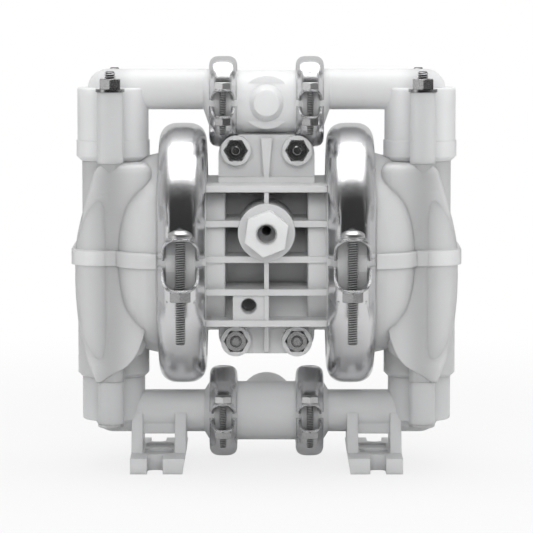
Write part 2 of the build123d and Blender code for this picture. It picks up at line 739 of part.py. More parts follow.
def foot():
    """Right-hand foot: slotted base plate with trays, on two webs."""
    base_face = outline([
        (FOOT_X - FOOT_HALF_X, FOOT_H),
        (FOOT_X + FOOT_HALF_X, FOOT_H),
        (FOOT_X + FOOT_HALF_X, 0),
        (FOOT_X - FOOT_HALF_X + FOOT_LEAN, 0),
    ])
    plate = front_shape(base_face, -FOOT_HALF_Y, FOOT_HALF_Y)
    web_foot = FOOT_WEB_HALF_Y + FOOT_WEB_SPREAD
    web_side = outline([
        (-web_foot, FOOT_H - SINK),
        (web_foot, FOOT_H - SINK),
        (FOOT_WEB_TOP_HALF_Y, INLET_Z),
        (-FOOT_WEB_TOP_HALF_Y, INLET_Z),
    ])
    for start in (FOOT_X - FOOT_HALF_X, FOOT_X + FOOT_HALF_X - FOOT_WEB_T):
        plate += Plane.YZ.offset(start) * extrude(web_side, FOOT_WEB_T)
    plate += block(
        (FOOT_X - FOOT_HALF_X, FOOT_X + FOOT_HALF_X),
        (-LINTEL_HALF_Y, LINTEL_HALF_Y),
        (INLET_Z - INLET_RUN_R, INLET_Z),
    )
    slot = rod(FOOT_SLOT_R, (FOOT_SLOT_X, 0, -PAST), (FOOT_SLOT_X, 0, FOOT_H + PAST))
    slot += block(
        (FOOT_SLOT_X - FOOT_SLOT_R, FOOT_SLOT_X + FOOT_SLOT_R),
        (-FOOT_SLOT_DEPTH, 0),
        (-PAST, FOOT_H + PAST),
    )
    slot_y = FOOT_HALF_Y - FOOT_SLOT_DEPTH + FOOT_SLOT_R
    for one in front_and_rear(Pos(0, -slot_y, 0) * slot):
        plate -= one
    tray_y = (FOOT_HALF_Y - FOOT_SLOT_DEPTH - FOOT_TRAY_RIM) / 2
    tray_width = 2 * (FOOT_HALF_X - FOOT_WEB_T - FOOT_TRAY_SIDE)
    tray = extrude(
        RectangleRounded(tray_width, 2 * tray_y - FOOT_TRAY_RIM, FOOT_TRAY_R), FOOT_TRAY_DEPTH + PAST
    )
    for one in front_and_rear(Pos(FOOT_X, -tray_y, FOOT_H - FOOT_TRAY_DEPTH) * tray):
        plate -= one
    return plate


def inlet_elbow():
    """Right-hand inlet elbow: leg, round-ended run and foot."""
    body = turned_on_z([
        (0, INLET_LEG_BOTTOM),
        (INLET_LEG_R, INLET_LEG_BOTTOM, MANIFOLD_EDGE_R),
        (INLET_LEG_R, COLUMN_BOTTOM),
        (0, COLUMN_BOTTOM),
    ], LEG_X)
    body += rod(INLET_RUN_R, (PIPE_SEAM_X + SINK, 0, INLET_Z), (LEG_X, 0, INLET_Z))
    body += Pos(LEG_X, 0, INLET_Z) * Sphere(INLET_RUN_R)
    body += pipe_flange(INLET_RUN_R, INLET_Z, FLARE_X)
    body += tie_ears(TIE_BOTTOM, COLUMN_BOTTOM)
    body += foot()
    body -= rod(RUN_BORE_R, (LEG_X, 0, INLET_Z), (LEG_X, 0, COLUMN_BOTTOM + PAST))
    body -= Pos(LEG_X, 0, INLET_Z) * Sphere(RUN_BORE_R)
    body -= rod(RUN_BORE_R, (PIPE_SEAM_X - PAST, 0, INLET_Z), (LEG_X, 0, INLET_Z))
    body -= o_ring_groove(SEAT_ORING_R, (LEG_X, 0, COLUMN_BOTTOM), (0, 0, -1))
    body -= o_ring_groove(TEE_ORING_R, (PIPE_SEAM_X, 0, INLET_Z), (1, 0, 0))
    for hole in tie_holes(TIE_BOTTOM, COLUMN_BOTTOM):
        body -= hole
    return body


def tee_bore(centre_z):
    """The bore through a tee, from clamp to clamp."""
    end = PIPE_SEAM_X + PAST
    return rod(CENTRE_BORE_R, (-end, 0, centre_z), (end, 0, centre_z))


def tee(centre_z, radius):
    """A tee between the small clamps, with its threaded port at the rear."""
    rim_r = SMALL_CREST_R - SMALL_SHEET - SMALL_RIM_GAP
    foot_r = SMALL_ROOT_R
    half = [
        (0, 0),
        (PIPE_SEAM_X - FIT, 0),
        (PIPE_SEAM_X - FIT, rim_r),
        (PIPE_SEAM_X - SMALL.flange_half(rim_r), rim_r),
        (PIPE_SEAM_X - SMALL.flange_half(foot_r), foot_r),
        (PIPE_SEAM_X - SMALL_ROOT_HALF - SMALL_FOOT_STEP, radius),
        (0, radius),
    ]
    body = Part() + both_sides(turned_on_x(half, centre_z))
    body += rod(PORT_HUB_R, (0, 0, centre_z), (0, PORT_Y, centre_z))
    body -= tee_bore(centre_z)
    body -= rod(CENTRE_BORE_R, (0, 0, centre_z), (0, PORT_Y, centre_z))
    body -= rod(PORT_R, (0, PORT_Y - PORT_DEPTH, centre_z), (0, PORT_Y + PAST, centre_z))
    return body


def discharge_tee():
    """The upper tee, with a blind boss on its front."""
    body = tee(DISCHARGE_Z, TEE_R)
    front = TEE_R
    body += rod(BOSS_COLLAR_R, (0, BOSS_COLLAR_SINK - front, DISCHARGE_Z), (0, 0, DISCHARGE_Z))
    body += taper(
        BOSS_FACE_R, BOSS_BASE_R, (0, -front - BOSS_H, DISCHARGE_Z), (0, EDGE_R - front, DISCHARGE_Z)
    )
    return body - tee_bore(DISCHARGE_Z)


def o_ring(major_r, place, axis):
    """A round-section ring about a point."""
    return Plane(origin=place, z_dir=axis) * Torus(major_r, ORING_R)


def o_ring_groove(major_r, face, axis):
    """The groove for an o-ring, sunk into a face against the given direction."""
    seat = Plane(origin=face, z_dir=axis)
    half = ORING_R + FIT / 2
    outer = Cylinder(major_r + half, 2 * half, align=(Align.CENTER, Align.CENTER, Align.MIN))
    inner = Cylinder(major_r - half, 2 * half, align=(Align.CENTER, Align.CENTER, Align.MIN))
    return seat * (outer - inner)


def valve_seat(low_z):
    """A seat ring in its counterbore."""
    ring = rod(SEAT_R - FIT, (LEG_X, 0, low_z), (LEG_X, 0, low_z + SEAT_H))
    return ring - rod(SEAT_BORE_R, (LEG_X, 0, low_z - PAST), (LEG_X, 0, low_z + SEAT_H + PAST))


def diaphragm():
    """Right-hand diaphragm: clamped rim, one convolution and a flat centre."""
    low = SEAM_X - RUBBER_T / 2
    high = SEAM_X + RUBBER_T / 2
    middle_r = (PISTON_R + DISH_R) / 2
    return turned_on_x([
        (low, STUD_R + RUNNING),
        (low, PISTON_R + FOLD_R / 2, FOLD_R),
        (low + SWELL, middle_r, SWELL_R),
        (low, DISH_R - FOLD_R, FOLD_R),
        (low, RIM_R),
        (high, RIM_R),
        (high, DISH_R - FOLD_R / 2, FOLD_R),
        (high + SWELL, middle_r, SWELL_R),
        (high, PISTON_R + FOLD_R, FOLD_R),
        (high, STUD_R + RUNNING),
    ], SHAFT_Z)


def inner_piston():
    """Plate on the air side of a diaphragm."""
    face = SEAM_X - RUBBER_T / 2
    return turned_on_x([
        (face - PISTON_T, STUD_R + RUNNING),
        (face - PISTON_T, PISTON_R - PISTON_T, EDGE_R),
        (face - PISTON_T / 2, PISTON_R, EDGE_R),
        (face, PISTON_R),
        (face, STUD_R + RUNNING),
    ], SHAFT_Z)


def outer_piston():
    """Plate on the liquid side of a diaphragm, with the stud that holds both to the shaft."""
    face = SEAM_X + RUBBER_T / 2
    stud_end = SEAM_X - RUBBER_T / 2 - PISTON_T - STUD_LENGTH
    return turned_on_x([
        (stud_end, 0),
        (stud_end, STUD_R),
        (face, STUD_R),
        (face, PISTON_R, EDGE_R),
        (face + PISTON_T / 2, PISTON_R, EDGE_R),
        (face + PISTON_T, PISTON_R - PISTON_T, EDGE_R),
        (face + PISTON_T, 0),
    ], SHAFT_Z)


def shaft():
    """The shaft, bored at each end for the piston studs."""
    end = SEAM_X - RUBBER_T / 2 - PISTON_T
    bore = rod(STUD_R + RUNNING, (end - STUD_LENGTH - PAST, 0, SHAFT_Z), (end + PAST, 0, SHAFT_Z))
    body = rod(SHAFT_R, (-end, 0, SHAFT_Z), (end, 0, SHAFT_Z))
    for one in both_sides(bore):
        body -= one
    return body


def tube_on_x(inner_r, outer_r, x0, x1, y, z):
    """A sleeve along X."""
    return rod(outer_r, (x0, y, z), (x1, y, z)) - rod(inner_r, (x0 - PAST, y, z), (x1 + PAST, y, z))


def air_valve_body():
    """Valve body on the rear pad: flange, upright barrel with its bore, and air inlet."""
    plate = Pos(0, VALVE_BOLT_MID_Z) * RectangleRounded(
        2 * VALVE_HALF_X, VALVE_BOLT_SPACING + 2 * VALVE_OVER, VALVE_OVER
    )
    body = front_shape(plate, PAD_Y + GASKET_T, VALVE_Y)
    pocket = block(
        (VALVE_HALF_X - VALVE_POCKET_DEPTH, VALVE_HALF_X + PAST),
        (PAD_Y + GASKET_T + VALVE_PLATE_T, VALVE_Y + PAST),
        (VALVE_BOLT_MID_Z - VALVE_POCKET_HALF_Z, VALVE_BOLT_MID_Z + VALVE_POCKET_HALF_Z),
    )
    for one in both_sides(pocket):
        body -= one
    low = VALVE_BOLT_MID_Z - BARREL_HALF_Z
    high = VALVE_BOLT_MID_Z + BARREL_HALF_Z
    body += rod(BARREL_R, (0, VALVE_Y, low), (0, VALVE_Y, high))
    body += rod(AIR_PORT_HUB_R, (0, VALVE_Y, VALVE_BOLT_MID_Z), (0, AIR_PORT_Y, VALVE_BOLT_MID_Z))
    body -= rod(SPOOL_R + RUNNING, (0, VALVE_Y, low - PAST), (0, VALVE_Y, high + PAST))
    for z0, z1 in ((low - PAST, low + CAP_T), (high - CAP_T, high + PAST)):
        body -= rod(CAP_R, (0, VALVE_Y, z0), (0, VALVE_Y, z1))
    thread_start = AIR_PORT_Y - AIR_PORT_DEPTH
    body -= rod(AIR_PORT_R, (0, thread_start, VALVE_BOLT_MID_Z), (0, AIR_PORT_Y + PAST, VALVE_BOLT_MID_Z))
    body -= rod(AIR_PASSAGE_R, (0, VALVE_Y, VALVE_BOLT_MID_Z), (0, AIR_PORT_Y, VALVE_BOLT_MID_Z))
    for x, z in valve_bolt_places():
        body -= rod(VALVE_BOLT_R + BOLT_CLEARANCE, (x, PAD_Y, z), (x, VALVE_Y + PAST, z))
    return body


def air_valve_spool():
    """Spool with three lands, resting on the lower cap."""
    low = VALVE_BOLT_MID_Z - BARREL_HALF_Z + CAP_T + LOOSE
    length = 2 * (BARREL_HALF_Z - CAP_T - LOOSE) - SPOOL_TRAVEL
    waist = (length - 3 * SPOOL_LAND) / 2
    spool = rod(SPOOL_WAIST_R, (0, VALVE_Y, low), (0, VALVE_Y, low + length))
    for start in (low, low + SPOOL_LAND + waist, low + length - SPOOL_LAND):
        spool += rod(SPOOL_R, (0, VALVE_Y, start), (0, VALVE_Y, start + SPOOL_LAND))
    return spool


def air_valve_caps():
    """Round caps that close the barrel's ends."""
    low = VALVE_BOLT_MID_Z - BARREL_HALF_Z
    high = VALVE_BOLT_MID_Z + BARREL_HALF_Z
    lower = rod(CAP_R - FIT, (0, VALVE_Y, low + CAP_RECESS), (0, VALVE_Y, low + CAP_T))
    upper = rod(CAP_R - FIT, (0, VALVE_Y, high - CAP_T), (0, VALVE_Y, high - CAP_RECESS))
    return [lower, upper]


def valve_bolt_places():
    """X and Z of the four bolts that hold the air valve."""
    heights = [VALVE_BOLT_MID_Z + side * VALVE_BOLT_SPACING / 2 for side in (-1, 1)]
    return [(x, z) for x in (-VALVE_BOLT_X, VALVE_BOLT_X) for z in heights]


def air_valve_bolts():
    """Long bolts from the rear of the valve body to the nuts in the front panel."""
    front = -PANEL_FRONT - NUT_POCKET_DEPTH - VALVE_BOLT_TIP
    bolts = []
    for x, z in valve_bolt_places():
        head = hexagon(TIE_NUT_AF, (x, VALVE_Y, z), VALVE_HEAD_H, (0, 1, 0))
        bolts.append(head + rod(VALVE_BOLT_R, (x, front, z), (x, VALVE_Y, z)))
    return bolts


def air_valve_nuts():
    """Nuts in the hexagonal pockets of the front panel."""
    nuts = []
    for x, z in valve_bolt_places():
        start = -PANEL_FRONT - NUT_POCKET_DEPTH
        body = hexagon(TIE_NUT_AF, (x, start, z), NUT_POCKET_DEPTH, (0, 1, 0))
        nuts.append(body - rod(VALVE_BOLT_R + RUNNING, (x, start - PAST, z), (x, PAST - PANEL_FRONT, z)))
    return nuts


def gasket():
    """Flat gasket between the rear pad and the air valve."""
    width = 2 * (VALVE_HALF_X - GASKET_INSET)
    height = VALVE_BOLT_SPACING + 2 * (VALVE_OVER - GASKET_INSET)
    sheet = Pos(0, VALVE_BOLT_MID_Z) * RectangleRounded(width, height, VALVE_OVER - GASKET_INSET)
    body = front_shape(sheet, PAD_Y, PAD_Y + GASKET_T)
    for x, z in valve_bolt_places():
        body -= rod(VALVE_BOLT_R + BOLT_CLEARANCE, (x, PAD_Y - PAST, z), (x, VALVE_Y, z))
    return body


def exhaust_bushing():
    """Hexagonal bushing in the round front boss, with its threaded hole."""
    front = -HEX_FRONT
    length = HEX_FRONT - EXHAUST_BOSS_FRONT
    body = hexagon(HEX_AF, (0, front, EXHAUST_Z), length, (0, 1, 0), turn=-HEX_TURN)
    spigot_end = -EXHAUST_BOSS_FRONT + HEX_SPIGOT_LENGTH
    body += rod(HEX_SPIGOT_R, (0, -EXHAUST_BOSS_FRONT, EXHAUST_Z), (0, spigot_end, EXHAUST_Z))
    body -= rod(EXHAUST_R, (0, front - PAST, EXHAUST_Z), (0, front + EXHAUST_DEPTH, EXHAUST_Z))
    body -= rod(EXHAUST_DEEP_R, (0, front, EXHAUST_Z), (0, spigot_end + PAST, EXHAUST_Z))
    return body


def tie_hardware():
    """Bolts, washers and nuts of the four tie tubes."""
    bolts, washers, nuts = [], [], []
    for x in (-TIE_X, TIE_X):
        for y in (-TIE_Y, TIE_Y):
            head = domed_head(TIE_HEAD_R, TIE_HEAD_H, (x, y, TIE_BOTTOM), -1)
            nut_top = TIE_TOP + WASHER_T + TIE_NUT_H
            bolts.append(head + rod(TIE_BOLT_R, (x, y, TIE_BOTTOM), (x, y, nut_top + TIE_TAIL)))
            disc = rod(WASHER_R, (x, y, TIE_TOP), (x, y, TIE_TOP + WASHER_T))
            hole = rod(TIE_BOLT_R + BOLT_CLEARANCE, (x, y, TIE_TOP - PAST), (x, y, nut_top))
            washers.append(disc - hole)
            nuts.append(nut(TIE_NUT_AF, TIE_NUT_H, TIE_BOLT_R, (x, y, nut_top)))
    return bolts, washers, nuts


def save(name, solids):
    """Write one node, of one or several solids."""
    if isinstance(solids, (list, tuple)):
        solids = [one for piece in solids for one in piece.solids()]
        shape = Compound(children=[Solid(one.wrapped) for one in solids])
    else:
        shape = solids
    shape.label = name
    export_step(shape, f"parts/{name}.step")


def save_pair(name, piece):
    """Write a right-hand piece and its mirror image as two nodes."""
    save(f"{name}_right", piece)
    save(f"{name}_left", mirror(piece, about=Plane.YZ))


def save_clamps():
    """Write all clamp bands with their bolts and nuts."""
    top, bottom = large_halves()
    for side, x in (("left", -SEAM_X), ("right", SEAM_X)):
        save(f"large_clamp_{side}_upper_half", Pos(x, 0, SHAFT_Z) * top)
        save(f"large_clamp_{side}_lower_half", Pos(x, 0, SHAFT_Z) * bottom)
    bolt_y = LARGE_CREST_R + LARGE_BOLT_OUT
    shelf = LARGE_WINDOW_HEIGHT + LARGE_SHEET
    places = [(x, y) for x in (-SEAM_X, SEAM_X) for y in (-bolt_y, bolt_y)]
    save("large_clamp_bolts", [Pos(x, 0, SHAFT_Z) * large_bolt(y) for x, y in places])
    save("large_clamp_nuts", [
        nut(LARGE_NUT_AF, LARGE_NUT_H, LARGE_BOLT_R, (x, y, SHAFT_Z - shelf)) for x, y in places
    ])
    top, bottom = small_halves()
    bolt_y = SMALL_CREST_R + SMALL_BOLT_OUT
    shelf = SMALL_WINDOW_HEIGHT + SMALL_SHEET
    for name, height in (("discharge", DISCHARGE_Z), ("inlet", INLET_Z)):
        seats = [Pos(x, 0, height) for x in (-PIPE_SEAM_X, PIPE_SEAM_X)]
        save(f"{name}_clamp_upper_halves", [seat * top for seat in seats])
        save(f"{name}_clamp_lower_halves", [seat * bottom for seat in seats])
        save(f"{name}_clamp_bolts", [seat * small_bolt(y) for seat in seats for y in (-bolt_y, bolt_y)])
        save(f"{name}_clamp_nuts", [
            seat * nut(SMALL_HEAD_AF, SMALL_NUT_H, SMALL_BOLT_R, (0, y, -shelf))
            for seat in seats for y in (-bolt_y, bolt_y)
        ])


def save_valves():
    """Write the four ball valves: seats, o-rings and balls."""
    inlet_seat = valve_seat(COLUMN_BOTTOM)
    discharge_seat = valve_seat(COLUMN_TOP - SEAT_H)
    save("inlet_valve_seats", both_sides(inlet_seat))
    save("discharge_valve_seats", both_sides(discharge_seat))
    ball = Sphere(BALL_R)
    depth = ORING_R + FIT / 2
    upper_ring = o_ring(SEAT_ORING_R, (LEG_X, 0, COLUMN_TOP + depth), (0, 0, 1))
    lower_ring = o_ring(SEAT_ORING_R, (LEG_X, 0, COLUMN_BOTTOM - depth), (0, 0, 1))
    save("seat_o_rings", both_sides(upper_ring) + both_sides(lower_ring))
    tee_rings = []
    for height in (DISCHARGE_Z, INLET_Z):
        tee_rings += both_sides(o_ring(TEE_ORING_R, (PIPE_SEAM_X + depth, 0, height), (1, 0, 0)))
    save("tee_o_rings", tee_rings)
    save_pair("inlet_ball", Pos(LEG_X, 0, COLUMN_BOTTOM + SEAT_H + ball_rise()) * ball)
    save_pair("discharge_ball", Pos(LEG_X, 0, COLUMN_TOP + ball_rise()) * ball)


def save_inner_parts():
    """Write the shaft, diaphragms and pilot parts."""
    save_pair("diaphragm", diaphragm())
    save_pair("inner_piston", inner_piston())
    save_pair("outer_piston", outer_piston())
    save("shaft", shaft())
    half = SEAM_X - RUBBER_T / 2 - PISTON_T - STROKE - LOOSE
    inner_end = half - SEAL_T
    save("shaft_bushing", tube_on_x(SHAFT_R + RUNNING, BUSHING_R - FIT, -inner_end, inner_end, 0, SHAFT_Z))
    seal = tube_on_x(SHAFT_R + RUNNING, BUSHING_R - FIT, inner_end, half, 0, SHAFT_Z)
    save("shaft_seals", both_sides(seal))
    pilot_z = SHAFT_Z - PILOT_DROP
    save("pilot_sleeve", tube_on_x(PILOT_R + RUNNING, PILOT_SLEEVE_R - FIT, -half, half, PILOT_Y, pilot_z))
    reach = SEAM_X - RUBBER_T / 2 - PISTON_T - STROKE / 2 - LOOSE
    save("pilot_spool", rod(PILOT_R, (-reach, PILOT_Y, pilot_z), (reach, PILOT_Y, pilot_z)))


def main():
    """Build and write every piece."""
    os.makedirs("parts", exist_ok=True)
    save("centre_block", finished_centre_block())
    save_pair("liquid_chamber", liquid_chamber())
    save_pair("discharge_elbow", discharge_elbow())
    save("discharge_tee", discharge_tee())
    save_pair("inlet_elbow", inlet_elbow())
    save("inlet_tee", tee(INLET_Z, INLET_TEE_R))
    save_clamps()
    bolts, washers, nuts = tie_hardware()
    save("tie_bolts", bolts)
    save("tie_washers", washers)
    save("tie_nuts", nuts)
    save_valves()
    save_inner_parts()
    save("exhaust_bushing", exhaust_bushing())
    save("air_valve_gasket", gasket())
    save("air_valve_body", air_valve_body())
    save("air_valve_spool", air_valve_spool())
    save("air_valve_caps", air_valve_caps())
    save("air_valve_bolts", air_valve_bolts())
    save("air_valve_nuts", air_valve_nuts())


main()
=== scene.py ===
"""Looks of a clamp-banded diaphragm pump: its pieces are worked out in millimetres and made in metres."""

import json
import math
from collections import namedtuple

import bpy
import numpy as np
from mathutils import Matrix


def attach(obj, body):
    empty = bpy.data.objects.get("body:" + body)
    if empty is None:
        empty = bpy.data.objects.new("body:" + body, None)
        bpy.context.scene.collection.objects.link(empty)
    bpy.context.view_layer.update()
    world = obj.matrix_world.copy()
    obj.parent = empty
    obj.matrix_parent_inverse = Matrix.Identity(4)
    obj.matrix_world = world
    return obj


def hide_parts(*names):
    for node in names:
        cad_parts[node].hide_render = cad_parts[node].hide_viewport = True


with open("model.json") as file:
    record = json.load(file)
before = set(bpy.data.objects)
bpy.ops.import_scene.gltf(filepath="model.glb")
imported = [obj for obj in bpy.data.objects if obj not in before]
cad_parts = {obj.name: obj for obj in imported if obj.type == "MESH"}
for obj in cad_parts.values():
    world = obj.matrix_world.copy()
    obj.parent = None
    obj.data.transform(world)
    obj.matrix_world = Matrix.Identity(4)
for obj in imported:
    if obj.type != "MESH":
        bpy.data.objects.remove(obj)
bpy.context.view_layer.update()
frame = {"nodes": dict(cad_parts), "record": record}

MM = 0.001
PHOTO_SIDE = 533
FULL_TURN = 2 * math.pi

# Heights and axes of the pump, as its solids have them, in millimetres
SHAFT_Z = 118.4
SEAM_X = 46.3
LARGE_BOLT_Y = 76.2
DISCHARGE_Z = 202.6
INLET_Z = 29.8
PIPE_SEAM_X = 24.0
SMALL_BOLT_Y = 28.2
LEG_X = 85.2
TIE_X = 85.5
TIE_Y = 30.0
TIE_TOP = 209.1
TIE_BOTTOM = 26.2
TIE_TUBE_R = 7.1
AIR_VALVE_Z = 123.6
VALVE_BOLT_X = 16.9
VALVE_BOLT_RISE = 52.8

# Bands: half width and radius of the crest, then of the root, and the thickness of the sheet
Band = namedtuple("Band", "crest_half crest_r root_half root_r sheet")
LARGE_BAND = Band(8.0, 72.0, 13.0, 58.5, 1.5)
SMALL_BAND = Band(4.2, 25.0, 7.6, 18.8, 1.2)

# Screws, pipe threads in the ports, and hexagons across their flats
Thread = namedtuple("Thread", "radius pitch depth")
LARGE_THREAD = Thread(3.1, 1.27, 0.78)
SMALL_THREAD = Thread(2.1, 0.95, 0.55)
TIE_THREAD = Thread(3.15, 1.27, 0.78)
VALVE_THREAD = Thread(2.9, 1.2, 0.7)
HALF_INCH_PIPE = Thread(9.6, 1.81, 1.0)
QUARTER_PIPE = Thread(5.7, 1.41, 0.7)
EIGHTH_PIPE = Thread(4.45, 0.94, 0.5)
QUARTER_HEX = 11.1
SMALL_HEX = 8.6

# Chamfers on the corners of a hexagon, at its start and at its end: 1 is the deepest
HEAD_CHAMFERS = (0, 1)
HUNG_NUT_CHAMFERS = (1, 0.3)
TOP_NUT_CHAMFERS = (0.3, 1)
POCKET_NUT_CHAMFERS = (1, 0.2)

# Belt rib of a chamber: half its height
BELT_HALF = 4.25


# Meshes


def mesh_piece(name, parts, material, smooth_angle=35):
    """One piece of the casing made of several (points, faces) surfaces, given in millimetres."""
    points, faces, start = [], [], 0
    for part_points, part_faces in parts:
        points.append(part_points * MM)
        faces.extend([tuple(corner + start for corner in face) for face in part_faces])
        start += len(part_points)
    mesh = bpy.data.meshes.new(name)
    mesh.from_pydata(np.concatenate(points).tolist(), [], faces)
    mesh.update()
    mesh.materials.append(material)
    piece = bpy.data.objects.new(name, mesh)
    bpy.context.scene.collection.objects.link(piece)
    with bpy.context.temp_override(object=piece, active_object=piece, selected_objects=[piece]):
        bpy.ops.object.shade_smooth_by_angle(angle=math.radians(smooth_angle))
    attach(piece, "casing")
    return piece


def closed_tube(grid):
    """A grid of rings becomes a closed skin: quads between the rings, and a fan from each end ring to the
    middle of that ring."""
    rows, columns, _ = grid.shape
    points = np.concatenate([grid.reshape(-1, 3), grid[:1].mean(axis=1), grid[-1:].mean(axis=1)])
    low = np.arange(rows - 1)[:, None] * columns
    high = low + columns
    ring = np.arange(columns)
    after = (ring + 1) % columns
    quads = np.stack([low + ring, low + after, high + after, high + ring], axis=-1).reshape(-1, 4)
    last = (rows - 1) * columns
    first_fan = np.stack([np.full(columns, rows * columns), after, ring], axis=-1)
    last_fan = np.stack([np.full(columns, rows * columns + 1), last + ring, last + after], axis=-1)
    return points, quads.tolist() + first_fan.tolist() + last_fan.tolist()


def closed_channel(grid):
    """A grid whose rings go along an open section and back becomes a closed skin, with strips as its
    ends."""
    rows, columns, _ = grid.shape
    points, faces = closed_tube(grid)
    walls = faces[: (rows - 1) * columns]
    there = np.arange(columns // 2 - 1)
    back = columns - 1 - there
    first_strip = np.stack([there, back, back - 1, there + 1], axis=-1)
    last_strip = np.stack([there, there + 1, back - 1, back], axis=-1) + (rows - 1) * columns
    return points[:-2], walls + first_strip.tolist() + last_strip.tolist()


def facing_out(grid):
    """A grid of rings, turned inside out where the volume within its skin comes out negative."""
    inner = grid - grid.mean(axis=(0, 1))
    after = np.roll(inner, -1, axis=1)
    first, second, third, fourth = inner[:-1], after[:-1], after[1:], inner[1:]
    volume = (first * (np.cross(second, third) + np.cross(third, fourth))).sum()
    return grid if volume > 0 else grid[:, ::-1]


def on_axis(grid, origin, along):
    """Turns a grid built along +Z so that it runs along a direction, and moves it to an origin."""
    along = np.array(along, float)
    side = np.array((1.0, 0.0, 0.0)) if abs(along[0]) < 0.9 else np.array((0.0, 1.0, 0.0))
    second = np.cross(along, side)
    basis = np.stack([np.cross(second, along), second, along])
    return grid @ basis + np.array(origin, float)


def placed(grid, origin, along=(0, 0, 1)):
    """A grid as a closed skin at its place."""
    return closed_tube(on_axis(grid, origin, along))


def ring_angles(columns):
    """Angles of a ring's points, one turn round."""
    return np.linspace(0, FULL_TURN, columns, endpoint=False)


def ring_grid(radius, height, columns):
    """Points at (radius, angle, height): both are a number, one value a ring or one value a point."""
    whole = np.zeros((1, columns))
    radius, height = np.broadcast_arrays(radius + whole, height + whole)
    angle = ring_angles(columns)
    return np.stack([radius * np.cos(angle), radius * np.sin(angle), height], axis=-1)


def threaded_rod(thread, start, end, columns=28, rows_a_turn=10):
    """A screw thread: radius = outer radius - depth * how far the height is from the nearest crest, with
    a flat on each crest and root. The crest climbs one pitch a turn, and a 45 degree cone cuts both
    ends."""
    steepness, flat = 1.2, 0.1
    tip_radius = thread.radius - 1.3 * thread.depth
    rows = int((end - start) / thread.pitch * rows_a_turn) + 1
    height = np.linspace(start, end, rows)[:, None]
    climb = (height / thread.pitch - ring_angles(columns) / FULL_TURN) % 1.0
    cut = np.clip(steepness * np.abs(2 * climb - 1) - flat, 0, 1)
    cone = tip_radius + np.minimum(height - start, end - height)
    return ring_grid(np.minimum(thread.radius - thread.depth * cut, cone), height, columns)


def plain_rod(radius, start, end, columns=20):
    """A smooth shank with sharp ends: two rings of one radius."""
    return ring_grid(radius, np.array([[start], [end]]), columns)


def hex_bar(across_flats, start, end, chamfers, hole=0.0, columns=72):
    """A nut or bolt head: radius = the smaller of the hexagon's radius at that angle and a cone that
    trims its corners at each end, as deep as the chamfer there says. A hole turns the end rings inwards,
    over a bevelled rim, and a little back."""
    half = across_flats / 2
    side = FULL_TURN / 6
    hexagon = half / np.cos((ring_angles(columns) + side / 2) % side - side / 2)
    corner = half / math.cos(side / 2)
    deepest = corner - 0.97 * half
    trim = (corner - half) * 0.62
    levels = np.array([start, start + trim / 2, start + trim, end - trim, end - trim / 2, end])
    first, last = chamfers
    trims = np.array([first, first / 2, 0, 0, last / 2, last])
    radius = np.minimum(hexagon, corner - deepest * trims[:, None])
    grid = ring_grid(radius, levels[:, None], columns)
    if not hole:
        return grid
    bevel, sunk = 0.35, (end - start) * 0.08
    rings = [
        ring_grid(hole, start + sunk, columns),
        ring_grid(hole + bevel, start, columns),
        grid,
        ring_grid(hole + bevel, end, columns),
        ring_grid(hole, end - sunk, columns),
    ]
    return np.concatenate(rings)


def domed_cap(radius, rim, height, start, way, columns=40):
    """A carriage bolt's head, upwards (way 1) or downwards (way -1): on a straight rim the radius falls as
    the cosine and the height rises as the sine of a quarter turn."""
    turn = np.linspace(0, FULL_TURN / 4, 9)
    radii = np.concatenate([[radius], radius * np.cos(turn)])
    rises = np.concatenate([[0.0], rim + (height - rim) * np.sin(turn)])
    if way < 0:
        radii, rises = radii[::-1], rises[::-1]
    return ring_grid(radii[:, None], (start + way * rises)[:, None], columns)


def thread_ridge(thread, length, columns=36):
    """The crests of a female pipe thread: a triangular rib climbs one pitch a turn on the bore's wall and
    runs out within a third of a turn at both ends."""
    sunk, width = 0.05, 0.42 * thread.pitch
    turns = length / thread.pitch
    along = np.linspace(0, turns, int(turns * columns))[:, None]
    angle = along * FULL_TURN
    fade = np.clip(np.minimum(along, turns - along) * 3, 0.02, 1)
    across = ring_angles(3)
    inwards = thread.radius + sunk - thread.depth * fade * (0.5 + 0.5 * np.cos(across))
    level = along * thread.pitch + width * np.sin(across) * fade
    return np.stack([inwards * np.cos(angle), inwards * np.sin(angle), level], axis=-1)


# Materials


class Value:
    """A socket that carries a number; arithmetic on it adds Math nodes."""

    def __init__(self, paint, socket):
        self.paint = paint
        self.socket = socket

    def maths(self, operation, *numbers):
        return self.paint.node("Math", numbers, operation=operation)

    def __add__(self, other):
        return self.maths("ADD", self, other)

    __radd__ = __add__

    def __sub__(self, other):
        return self.maths("SUBTRACT", self, other)

    def __rsub__(self, other):
        return self.maths("SUBTRACT", other, self)

    def __mul__(self, other):
        return self.maths("MULTIPLY", self, other)

    __rmul__ = __mul__

    def __pow__(self, other):
        return self.maths("POWER", self, other)

    def __abs__(self):
        return self.maths("ABSOLUTE", self)


